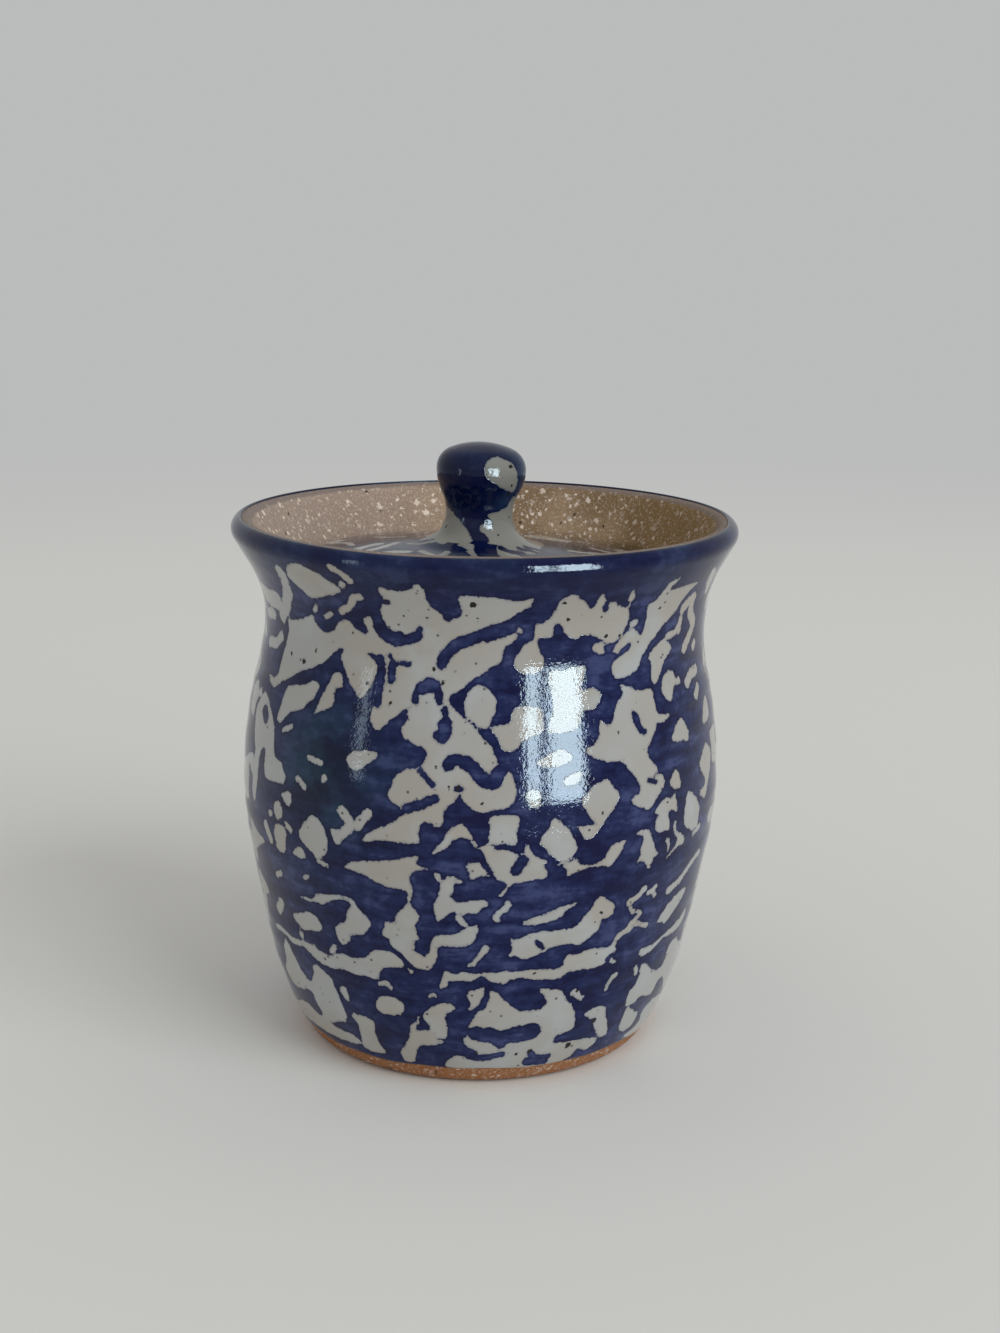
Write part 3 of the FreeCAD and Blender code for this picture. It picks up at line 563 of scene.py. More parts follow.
# closed windows where the grey ground shows
greyWindows = [
    [(-48.7, 108.9), (-46.9, 111.4), (-43.3, 112.6), (-38.8, 111.8), (-36.2, 110.5), (-32.8, 108),
     (-37, 106.4), (-42.9, 105), (-46.2, 106.6)],
    [(-59.2, 91.5), (-57.2, 95.5), (-57, 98.3), (-54, 98.8), (-49.6, 99.7), (-45.6, 101), (-44.7, 99.5),
     (-42.4, 98.2), (-40.6, 98), (-38.4, 98.7), (-36.6, 100.5), (-33.5, 101.5), (-31.7, 100.1), (-30, 99.1),
     (-28, 99.5), (-28.8, 101.8), (-26.5, 103), (-25, 101.4), (-24, 98.5), (-22.5, 96.5), (-24, 94.8),
     (-28.6, 95.2), (-26.3, 93.5), (-25.6, 91.8), (-26.3, 89.7), (-28.8, 85.9), (-30.8, 86.8), (-33, 88.9),
     (-34.8, 91.4), (-36.2, 93.5), (-35.6, 95.1), (-37.1, 94.9), (-39.7, 93.3), (-41.5, 91.8),
     (-45.1, 90.2), (-49.6, 88.7), (-54.1, 86.6), (-58.1, 84.9), (-61, 83.3), (-63.9, 83.7), (-65.7, 85.1),
     (-62.5, 85.2), (-60.3, 86.5)],
    [(-56.3, 77.6), (-54.1, 77.2), (-51.4, 79.7), (-46.9, 81.4), (-44.2, 83.5), (-42.2, 86), (-42.9, 87.4),
     (-44.7, 87.4), (-47.8, 86.2), (-53.2, 85.1), (-55, 83.9), (-55.4, 81.4)],
    [(-42.4, 80.8), (-40.6, 81.8), (-37, 83.5), (-37, 86.8), (-35, 87.6), (-35.7, 90.1), (-38, 89.9),
     (-39.3, 87.6), (-41.1, 84.3)],
    [(-31.2, 73.5), (-29, 75.6), (-24, 76), (-23.3, 74.7), (-25.9, 73), (-28.5, 71.6)],
    [(-69.8, 77.6), (-66.2, 81.2), (-63, 80.6), (-59.5, 78), (-57.2, 75.6), (-55.6, 70.1), (-52.3, 69.1),
     (-49.8, 66.4), (-50.9, 64.9), (-53.2, 64.5), (-58.1, 63.9), (-59.8, 65.1), (-60.3, 67.6),
     (-60.6, 70.1), (-62.4, 69.9), (-63.5, 67.6), (-63.9, 64.3), (-64.8, 60.1), (-66, 57), (-68.2, 60.1),
     (-67.5, 64.3), (-67, 68.5), (-69.3, 72.6)],
    [(-51.2, 62.6), (-47.6, 63.5), (-48, 60.3), (-50, 61)],
    [(-39.7, 60.2), (-37.6, 59.4), (-36.2, 57.5), (-35.6, 55.4), (-36.2, 52.7), (-38.6, 51), (-39.7, 51),
     (-40.6, 52.1), (-43.3, 53.3), (-44.7, 55.4), (-43.3, 57.5), (-41.5, 59.4)],
    [(-34.6, 58.6), (-32.6, 58.6), (-30.5, 58.6), (-31, 57), (-33, 55.2), (-34.1, 56.8)],
    [(-54.5, 55), (-52.3, 55.6), (-50, 55), (-49.6, 53.3), (-50.3, 51.7), (-50.9, 49.6), (-53, 49),
     (-54.8, 50), (-55, 52.5)],
    [(-54.6, 59.5), (-52.5, 60.5), (-50.8, 59), (-51.2, 57.4), (-53.6, 56.4)],
    [(-47.8, 50.1), (-45.1, 52.4), (-43.6, 51.8), (-43.3, 50)],
    [(-22.4, 109.6), (-18, 110.3), (-14, 111.3), (-12.6, 110.6), (-11.7, 106.8), (-9.6, 105), (-8.1, 103.3),
     (-4.9, 104.5), (-4.5, 106.4), (-5.2, 108), (-3.6, 108.9), (0, 108.9), (4, 108.5), (7.5, 107.8),
     (11.2, 108.3), (10.3, 106), (11.2, 103.9), (13.4, 102.8), (15.9, 104.5), (17, 107.2), (19.7, 108.9),
     (22.4, 107.5), (25.2, 105.5), (26.9, 108.9), (28.3, 107.3), (32.3, 107.6), (34.1, 106.8),
     (34.8, 109.3), (35.9, 106.8), (35.3, 104.7), (36.1, 102.2), (34.1, 98.5), (31, 97.6), (27.4, 99.3),
     (24.2, 99.9), (21.5, 99.1), (19.7, 100.1), (17.9, 102.3), (16.4, 102.4), (16.1, 99.9), (12.8, 99.7),
     (13.2, 97.4), (14.6, 95), (13.9, 92.8), (9.8, 92.6), (7, 94.3), (3.6, 94.7), (0.9, 93), (-2.7, 91),
     (-4.9, 89.3), (-7.2, 88), (-6.3, 86), (-4, 84.2), (-2, 83), (0.5, 80.6), (3, 77.8), (4.3, 75.2),
     (5.2, 73.6), (7.4, 73), (8.4, 69.3), (7.4, 66.8), (3.2, 65.6), (0, 65.4), (-2.6, 67.3), (-4, 68.7),
     (-5.5, 67), (-7.3, 65.2), (-7.6, 62.6), (-9.2, 62), (-11.2, 61.9), (-12.6, 58.6), (-17, 58),
     (-21.5, 58), (-26, 57.2), (-23.8, 59.7), (-19.3, 61.8), (-16, 64.2), (-17, 65), (-20, 67.6),
     (-18.8, 71), (-17, 72.8), (-13.5, 73.9), (-11.9, 75.6), (-12.3, 77.6), (-14.8, 78.3), (-17.3, 79.7),
     (-17.9, 82.4), (-16.4, 85.1), (-17.6, 85), (-20.2, 83), (-23.9, 80.2), (-25.8, 82.2), (-25.7, 84.5),
     (-24, 88), (-23.4, 92), (-24, 95.5), (-24.5, 99), (-23.4, 102), (-23.9, 104.4), (-22.3, 107)],
    [(-3.6, 86.2), (-2.9, 88.8), (-0.6, 90.4), (1.8, 89.6), (3.6, 87.4), (3.7, 85.2), (2.6, 83.6),
     (2, 81.8), (-0.3, 82.6), (-2.8, 84.2)],
    [(2.8, 82.3), (6.9, 83.1), (7.7, 85.6), (10.3, 86.2), (14.3, 85.6), (14.6, 83), (14, 80.8), (9.8, 79.6),
     (8.5, 78), (5.6, 77.7), (4.1, 80)],
    [(3, 64.4), (9, 64.4), (8.6, 61.4), (8.2, 58.4), (4, 58.5), (2.6, 59.3), (2.9, 61.8)],
    [(-9.9, 56.1), (-8.6, 57.8), (-7, 59.8), (-6.3, 61.2), (-3.8, 62.9), (-1.6, 61.2), (-0.4, 59.2),
     (0.8, 58.4), (3.2, 58.4), (4, 57.5), (6.3, 57.5), (8.1, 56.9), (10.1, 56.3), (10.5, 58.4), (11, 58.6),
     (11.7, 57.3), (12.8, 56), (15.4, 54.4), (14.7, 53.5), (15.7, 52.3), (15.4, 51), (12.1, 50.6),
     (7.9, 49.8), (6.5, 48), (5, 47.2), (6.8, 50), (4.3, 51.3), (3.3, 53.1), (2.2, 55.4), (1.2, 57.1),
     (-0.6, 58.2), (-2.6, 60), (-4.9, 59.4), (-7, 57.4)],
    [(13.7, 58.7), (15.7, 61.8), (17.2, 63.5), (20.6, 60.5), (22.4, 56.9), (21.4, 55.2), (20.2, 54.3),
     (18.1, 54.6), (16.4, 56), (15, 57.4)],
    [(15.9, 92.4), (19.5, 93), (23.8, 93.6), (25.3, 92.4), (24.3, 88.8), (27.8, 88.9), (29.4, 87),
     (27.4, 84.8), (24.4, 84.3), (23, 81.4), (19, 80.6), (15.7, 81), (17, 86)],
    [(12.8, 75.3), (15.5, 76.4), (19, 77.4), (21.4, 75.4), (18, 74.1), (14.6, 74)],
    [(18.3, 70.6), (20.5, 72.2), (23.2, 72.7), (23.2, 71), (21, 70)],
    [(10.7, 69.2), (12.4, 69.9), (13.9, 68.6), (13.7, 66.4), (12, 66), (11, 67.4)],
    [(43.5, 105.5), (44.4, 106.9), (45.6, 108.9), (48.9, 109.9), (47, 107.6), (50.7, 107.4), (58.9, 107.4),
     (56.5, 105.5), (54.7, 104.3), (52.9, 101.8), (48.9, 99.5), (45.3, 97), (42.2, 93.9), (39.9, 91),
     (35, 89.9), (33, 91), (32.8, 93.5), (35, 94.8), (32.3, 95.8), (34.5, 98), (37.7, 100.2), (40.8, 98.3),
     (41.7, 101.8), (41.3, 104.4)],
    [(26.9, 97.4), (29.2, 97.9), (29.9, 95.6), (27.4, 95.9)],
    [(44.4, 93.5), (47.1, 95.5), (50.2, 96.1), (53.4, 93.9), (50.7, 91.8), (48.9, 89.3), (46.3, 87.2),
     (45.3, 89.3), (45.5, 91.4)],
    [(49.1, 85.5), (49.8, 88.5), (52, 89.3), (54.3, 88.9), (55.3, 87.3), (56.9, 87.5), (57.4, 85.7),
     (54.7, 86), (52.5, 83.3), (50.7, 83.6)],
    [(35, 88.6), (38.6, 87.9), (39.9, 86.9), (44.9, 86.6), (45.7, 84.3), (46.6, 81.4), (50.9, 80.5),
     (47.5, 79.3), (45.7, 79.6), (44.8, 78), (41.7, 75.1), (42.2, 73), (44.9, 70.1), (43.4, 69.2),
     (46.2, 68.9), (46.7, 66.4), (44.4, 64.3), (41.7, 62.2), (39, 63.1), (36.2, 65), (38.6, 66.4),
     (38.7, 68), (36.3, 71), (33.6, 73.4), (30.1, 73.9), (26.5, 75.1), (24.6, 76.8), (27.9, 78.4),
     (28.6, 82.3), (30.1, 81.4), (31.7, 81.3), (33.2, 84.3), (35.7, 87)],
    [(23.3, 66.8), (25.6, 68.9), (29.7, 70.5), (31.4, 68.5), (33, 66), (29.6, 62.2), (27.4, 59.7),
     (24.7, 58.3), (22.5, 61.4), (26.5, 61.3), (24.5, 64.3)],
    [(50.4, 75.4), (55.2, 79), (57.8, 76.2), (57.9, 74.1), (55.2, 74.2)],
    [(48.8, 66.5), (51.2, 68.9), (53, 66.4), (52.9, 64.6), (50.7, 64.8)],
    [(43.5, 61.2), (45.3, 62.7), (47.5, 63.8), (49.3, 63), (50.7, 64), (51.4, 62.2), (51.9, 59.6),
     (49.8, 60.4), (48.2, 60), (49.1, 56.6), (47.1, 56.4), (44.6, 56.7), (43.7, 59.3), (45, 60.2)],
    [(56.2, 62.9), (57.9, 62.6), (61, 60.6), (62.6, 58.6), (63, 56.4), (62.3, 54.1), (60.1, 53.5),
     (57.3, 54.6), (55.1, 56.2), (54.8, 58.6)],
    [(62.8, 67.2), (65, 69.6), (68.1, 71), (71.7, 68), (69.5, 63), (66.2, 59.2), (63, 61.4), (66.6, 62.3),
     (65.4, 64.6)],
    [(67.1, 75.5), (69.5, 78.9), (73, 80.5), (73, 76)],
    [(64.4, 109.4), (68, 109), (71.5, 106), (70.5, 102.8), (67.5, 105)],
    [(-31.5, 50.6), (-29.2, 52.1), (-27.2, 52.7), (-24, 53.2), (-20, 53.8), (-15.7, 54.9), (-12.9, 55.5),
     (-13.2, 53.8), (-10.4, 52.7), (-13, 52.4), (-15, 50.7), (-14.3, 47.9), (-14.9, 44.7), (-13, 42.1),
     (-13.9, 40), (-13.7, 37.9), (-13, 36.7), (-14.7, 36), (-14.1, 35), (-15, 34), (-12.6, 32.8),
     (-11.4, 33.1), (-10.5, 35.4), (-9.9, 37.1), (-8.8, 37.9), (-4.9, 38.5), (-2.5, 39.8), (-0.2, 40.7),
     (0.7, 39.5), (-0.2, 37.3), (-1.6, 36), (-4.5, 35.5), (-8.1, 35.6), (-8.9, 34.6), (-9.2, 32.8),
     (-10.6, 30.1), (-13.5, 29.7), (-15.2, 30.2), (-17.5, 32.5), (-20.2, 34.2), (-20.9, 35.8),
     (-22.4, 36.7), (-22, 38), (-21.3, 39.8), (-18.7, 39.8), (-18.6, 41.7), (-16.4, 43.8), (-15.6, 45.6),
     (-15.9, 47.7), (-20, 47.9), (-24, 49), (-27.2, 50), (-29.9, 50.3)],
    [(-4.6, 51.6), (-6.5, 51.3), (-7.9, 49.6), (-8.3, 47.5), (-9.4, 45), (-8.8, 41.4), (-7.7, 41.8),
     (-5.8, 43.2), (-4.7, 43.3), (-4.5, 41.7), (-3.4, 40.6), (-1.8, 40.3), (-2.5, 41.8), (-3.5, 43.2),
     (0, 43.3), (1, 44.3), (2.9, 45.6), (0.9, 46.5), (-3.4, 45.8), (-5.2, 46.6), (-6, 47.5), (-5, 48.3),
     (-4.9, 50), (-2.7, 50.2)],
    [(-9.6, 52.2), (-8, 51.9), (-8.2, 50.1)],
    [(-2.3, 54.5), (0.3, 54.8), (1.8, 53.2), (3.1, 51.9), (1.3, 51.9), (0, 51.4), (-1.5, 51), (-1.8, 52.6)],
    [(-48.3, 40.2), (-45.1, 40.8), (-42, 41.5), (-41, 42.4), (-38, 43.1), (-33.9, 43.7), (-29.9, 43.5),
     (-28.1, 41.3), (-25.6, 39.6), (-25.4, 38.3), (-27.7, 35.8), (-31.7, 35), (-31.5, 33.8), (-34.4, 32.1),
     (-35.8, 33.8), (-35.5, 36.3), (-32.6, 37.9), (-31.7, 40), (-30.3, 42.1), (-32.1, 42.9), (-36.2, 42),
     (-39.3, 40.4), (-42, 40.5), (-45, 40)],
    [(-52, 34.6), (-50, 35.7), (-46.9, 36.7), (-44.2, 37.5), (-41.5, 36.5), (-40.6, 34.8), (-41.6, 33.5),
     (-45.1, 32.9), (-48.3, 32.3), (-50.6, 33.3)],
    [(-24, 32.6), (-21.1, 32.8), (-19.1, 32.1), (-17.4, 30.1), (-19.3, 29.2), (-22.4, 28.9), (-24, 27.5),
     (-25, 25.5), (-27.7, 25.6), (-31.7, 25.6), (-34.8, 26), (-38, 25.4), (-40.6, 25.4), (-44.2, 25.8),
     (-46.9, 26.7), (-49.6, 27.7), (-52.3, 27.3), (-55.4, 27.1), (-59, 28), (-65, 28), (-63.5, 29.4),
     (-58.6, 29.3), (-54.1, 28.8), (-50, 29.2), (-45.1, 29.4), (-43.3, 28.8), (-39, 28.2), (-37.1, 29.4),
     (-34.8, 29.8), (-31.7, 29.6), (-28.1, 30.2), (-26.3, 31.7)],
    [(-26.4, 19.3), (-25, 21.2), (-22, 21.8), (-19.4, 21.1), (-18.1, 19.5), (-19.2, 17.9), (-22.4, 17.2),
     (-25.4, 17.5)],
    [(-37.6, 20.6), (-36.4, 21.7), (-35.1, 21), (-34.9, 18.6), (-35.8, 18), (-36.9, 19)],
    [(-45.6, 24.6), (-42.9, 23.8), (-40.4, 22.7), (-39.7, 20.8), (-38.4, 18.3), (-37.5, 14.2),
     (-38.4, 12.3), (-40.6, 11.5), (-43.8, 10.5), (-46.2, 9.9), (-44, 9.2), (-40.6, 9), (-37.5, 8.8),
     (-34.8, 7.1), (-40, 6.2), (-50, 6), (-60, 6), (-70, 5.5), (-72, 9), (-66, 9.5), (-61, 11.5),
     (-56, 11.9), (-52.7, 10.9), (-50, 10.7), (-48.9, 11.7), (-50, 14), (-50.4, 16.2), (-52.6, 16.6),
     (-56, 15.5), (-62, 15), (-65.5, 17.5), (-63, 21), (-62, 24), (-59.8, 26.6), (-57.2, 25.4), (-55, 22.4),
     (-52.7, 20.3), (-49.5, 19.5), (-47.9, 21.3), (-46.9, 23.9)],
    [(-35.5, 14.7), (-33.9, 15.2), (-30.3, 15), (-28.3, 14.7), (-28.1, 12.9), (-28.8, 11.5), (-27.9, 8.8),
     (-27, 6), (-34, 6), (-33.9, 10), (-34.1, 12.9)],
    [(-72, 52), (-67, 50.5), (-61.5, 49.4), (-65, 47.4), (-72, 45)],
    [(-73, 40), (-66, 38), (-66, 35.5), (-73, 35)],
    [(17, 54.1), (19.3, 53.7), (22.3, 54.4), (23, 53.3), (25.1, 52.8), (28.7, 53.2), (30.3, 55),
     (31.6, 56.3), (34.9, 56.5), (32.8, 53.3), (31.2, 51.6), (28.7, 52), (26, 52.2), (23.5, 51.8),
     (20.5, 50.9), (20.4, 52.1), (19, 53.2)],
    [(38, 57.4), (39.2, 58.2), (41.3, 57.9), (42.6, 56.7), (43.5, 55), (44.2, 53.3), (45.6, 51.9),
     (44.2, 51), (43.1, 48.9), (41.7, 50.2), (40.1, 51.3), (38.6, 50.7), (39.6, 52.3), (39.5, 53.8),
     (40.1, 55.8), (39.4, 57)],
    [(50.6, 57.4), (51.4, 57.7), (51.8, 55.4), (53.4, 54.8), (55.6, 53.3), (55.9, 51.6), (53.4, 51.5),
     (50.7, 50.4), (48.8, 49.8), (51.6, 51.9), (52.7, 53.3), (51.1, 55.2)],
    [(47.7, 54.2), (48.9, 54.7), (49.7, 53.5), (49.3, 51.3), (48.7, 52.7)],
    [(10.3, 40.9), (13, 41.9), (16.6, 42.9), (19.7, 44), (23.3, 44.4), (21, 43.1), (19.7, 41.5), (17, 40.8),
     (13.4, 40.3)],
    [(8.1, 37.2), (10.7, 37.3), (12.1, 38.3), (15.7, 38.7), (20.1, 38.5), (23.8, 39), (25.6, 40.8),
     (27.4, 42.5), (28.6, 44.8), (30.3, 44.8), (31.9, 43.8), (33.7, 42.5), (33.9, 41.3), (32.8, 39.8),
     (31.2, 39.6), (30.3, 38.3), (30.3, 37.2), (28.7, 36.3), (26.5, 34.8), (24.7, 34.4), (23.3, 35),
     (21, 35.1), (17.9, 34.6), (15.2, 33.3), (12.1, 32.5), (9.8, 33.1), (8, 33.3), (8.7, 35)],
    [(-1.8, 31.1), (-0.2, 32.7), (0.9, 34), (1.9, 35.9), (3.4, 35.5), (3, 34.3), (1.3, 32.9), (0, 31.2)],
    [(-7.4, 29.5), (-8.4, 25.7), (-6.7, 26), (-6.3, 27.3), (-2.3, 27.5), (-0.2, 27.7), (1.6, 28.8),
     (3.1, 27.7), (4.9, 27.1), (7.6, 26.9), (9.4, 27.7), (12.1, 27.9), (15.2, 27.3), (21, 27), (22.9, 28.1),
     (26.5, 28.3), (31, 28.1), (34.5, 28.5), (36.3, 28), (37.4, 28.4), (35.3, 29.8), (36.6, 30.8),
     (36.1, 32.1), (36.7, 33.3), (38.6, 34.6), (41, 35.4), (39.9, 37.1), (38.6, 36), (36.3, 35),
     (35.4, 33.3), (34.1, 32.5), (31, 32.7), (27.4, 32.7), (24.7, 32.1), (22.8, 32.5), (21.9, 31.3),
     (21.3, 29.5), (15.2, 29.7), (9.4, 29.7), (3.6, 29.5), (0, 29.3), (-2.7, 29.6), (-5, 29.1)],
    [(50.5, 34.7), (52.9, 37.3), (56, 38.8), (60.1, 39.8), (62.9, 39.2), (61.9, 37.5), (59.2, 35.8),
     (56, 33.8), (54.3, 33.3), (52.5, 34.1)],
    [(46, 29.3), (50.7, 29.3), (54.3, 30.2), (57.4, 30.8), (63.7, 31.8), (67.5, 33.2), (68, 31),
     (62.3, 29.1), (55.1, 29.5), (52.5, 28.3), (48.9, 27.2), (46, 27.8)],
    [(-1.7, 24.4), (0.9, 25.5), (2.3, 25.9), (2.4, 24.5), (1.6, 22.9), (0.4, 21), (-1.6, 20.5),
     (-0.9, 21.7)],
    [(3.8, 25.1), (5.4, 24.8), (7.4, 22.9), (9.4, 21.3), (11.6, 20), (14.3, 19.7), (17, 19.8), (18.5, 21.3),
     (17.7, 23.3), (16, 24.8), (18.8, 24.6), (22.2, 23.8), (23.9, 21.7), (26, 19.6), (27.4, 16.7),
     (28, 14.2), (26.5, 12.9), (23.2, 12.1), (22.9, 10.6), (26, 10.2), (32.3, 9.8), (37.2, 9.1),
     (37.9, 7.9), (35, 6.3), (31.4, 7.1), (28.7, 5), (20, 3), (5, 3), (-7.2, 4.5), (-7.4, 6.6), (-5.4, 8.1),
     (-3.2, 8.1), (-1.5, 7.4), (1, 9), (-0.2, 10.2), (-2.3, 11.3), (-2.9, 12.9), (-1.7, 13.9), (-1.6, 15.8),
     (-0.9, 16.8), (0.4, 19.5), (2.7, 20.8), (3.7, 22.9)],
    [(30, 17), (32.3, 17.6), (35, 17.8), (37, 17.1), (37.9, 15.4), (38.8, 13.8), (39.9, 12.1), (41.4, 8.9),
     (39.9, 8.7), (37.7, 9.4), (36.3, 10.8), (34.8, 12.9), (33.2, 14.8), (31.4, 15.8)],
    [(45.1, 18.8), (47, 20.4), (47.8, 22.5), (47.4, 25), (48.4, 25.1), (50.7, 24.2), (53.4, 22.5),
     (56, 21.4), (59.2, 21.4), (60.5, 22.8), (60.2, 25.2), (62.3, 26.8), (66, 26.6), (68.6, 24.8), (74, 23),
     (76, 18), (74, 12.8), (68.1, 13.5), (66.8, 14.6), (63.2, 17.5), (61.4, 18.1), (59.2, 17.5),
     (58.4, 15.3), (55.2, 15.2), (51.6, 16.3), (49.3, 15.2), (45.5, 15.3)],
    [(46, 14.3), (48.9, 13.8), (51.1, 12.6), (54, 11.3), (54.1, 9.6), (52.9, 8), (49.8, 7.6), (47.1, 8.5),
     (46.1, 10.5)],
    [(56.8, 10.8), (60.1, 12.5), (65, 12.3), (72, 10.6), (75, 8), (72, 4), (60, 4), (51, 5.4), (57.6, 7.4)],
    [(-4.8, 21), (-8, 21.8), (-12.1, 19.8), (-13.3, 17.6), (-11.7, 16), (-12.2, 14.6), (-14.3, 15.7),
     (-14.2, 18.4), (-15.2, 16.6), (-17.1, 14.9), (-17.6, 12.8), (-18.9, 10.4), (-21.4, 7.6), (-20.5, 5),
     (-17.5, 5.4), (-16.8, 7.6), (-14.4, 10.3), (-11.2, 10.6), (-8.2, 11.6), (-10, 12.4), (-7.2, 13.4),
     (-7.4, 18.8), (-6, 19.8)],
]

# narrow pale slips between the brush marks: width, then the path
greySlips = [
    (1.3, [(-33, 113), (-31, 112), (-29.2, 110.6)]),
    (1, [(-31.9, 109.2), (-31.5, 109.7)]),
    (1.3, [(-34.6, 103.2), (-31.5, 104.9), (-30.1, 106.6), (-28, 107)]),
    (0.9, [(-43.8, 102.3), (-42.8, 103.5)]),
    (0.9, [(-40.3, 101.3), (-38.2, 102.2)]),
    (2.9, [(-60, 98.7), (-58.6, 99.7), (-55.4, 102.6), (-52.7, 105.5), (-51.2, 109.5)]),
    (4, [(-72, 102), (-66, 101.5), (-61, 101.8)]),
    (2.2, [(-72, 97.5), (-66, 98)]),
    (2.2, [(-70, 91.5), (-65, 92), (-61.5, 94)]),
    (1, [(-42.2, 72.1), (-38.2, 71.6)]),
    (1.2, [(-45.4, 67.1), (-43, 65.9)]),
    (0.9, [(-52.6, 75.9), (-49.4, 77.3)]),
    (1.2, [(-37.2, 68.4), (-36.9, 68.8)]),
    (1.9, [(-31.7, 62.8), (-29.8, 61.2), (-29.4, 59.6), (-30.8, 58.4)]),
    (1.9, [(-24.9, 63.2), (-27.4, 60.3)]),
    (1.2, [(-56.8, 56.8), (-56.2, 57)]),
    (1.2, [(-49.4, 56.2), (-47.8, 55.2)]),
    (2, [(-59.2, 53.6), (-57.4, 51)]),
    (0.9, [(-39, 50.6), (-36.2, 50)]),
    (0.8, [(-44.3, 45.5), (-42.8, 46)]),
    (1, [(-57, 42.8), (-54.4, 43.9)]),
    (2.2, [(-60, 33.8), (-57.2, 36.2)]),
    (0.9, [(-38.6, 29.3), (-36.8, 31)]),
    (1.2, [(-49.8, 31), (-49.4, 30.6)]),
    (0.9, [(-24.3, 24.7), (-22.6, 25), (-21.3, 24)]),
    (0.6, [(-16.2, 29.2), (-15.5, 28.7)]),
    (0.5, [(-11.5, 23), (-10.3, 23.8), (-9.6, 23.3)]),
    (2.4, [(56.4, 102), (60.5, 103.7), (61.2, 100.5), (64.6, 97.6), (63.5, 95.8), (60.4, 93)]),
    (1.2, [(50.8, 96.7), (54.7, 97.3), (56.3, 99.6)]),
    (1.4, [(56.3, 97.2), (56.3, 99.8)]),
    (1.3, [(37.4, 100.9), (38.3, 101.3)]),
    (2.2, [(61, 85.4), (63.7, 86.7), (67.5, 87)]),
    (1.7, [(65, 82), (67.2, 83.3)]),
    (2.2, [(66.6, 92.4), (67, 92.7)]),
    (1.2, [(60.6, 52.7), (64, 53.4)]),
    (1.6, [(52.6, 41.4), (57.4, 42.6), (60.1, 44), (63.7, 45.7), (67.2, 46.4)]),
    (1.4, [(38.2, 42), (39.9, 42.6), (41.3, 43.3), (42.9, 44.3)]),
    (1, [(44.5, 43), (45.6, 43.1), (46.7, 43.9)]),
    (0.9, [(45.7, 43), (47, 41.9)]),
    (1, [(40.2, 36.7), (44, 35.7), (46.3, 34.8)]),
    (0.7, [(40.6, 37), (42.7, 38.4), (41.3, 39.4), (39.9, 39.6), (38.8, 40.8)]),
    (1.1, [(4.8, 42.1), (5.1, 43.4), (6.4, 44.3), (7.3, 45.5)]),
    (1.3, [(25.9, 23), (28.4, 21.1)]),
    (0.9, [(35.9, 21.8), (36.3, 23.3), (37.2, 24.4), (38.3, 24.8)]),
    (1, [(45.3, 25), (46, 23.6)]),
    (0.6, [(8.2, 101.7), (8.7, 101.2)]),
]

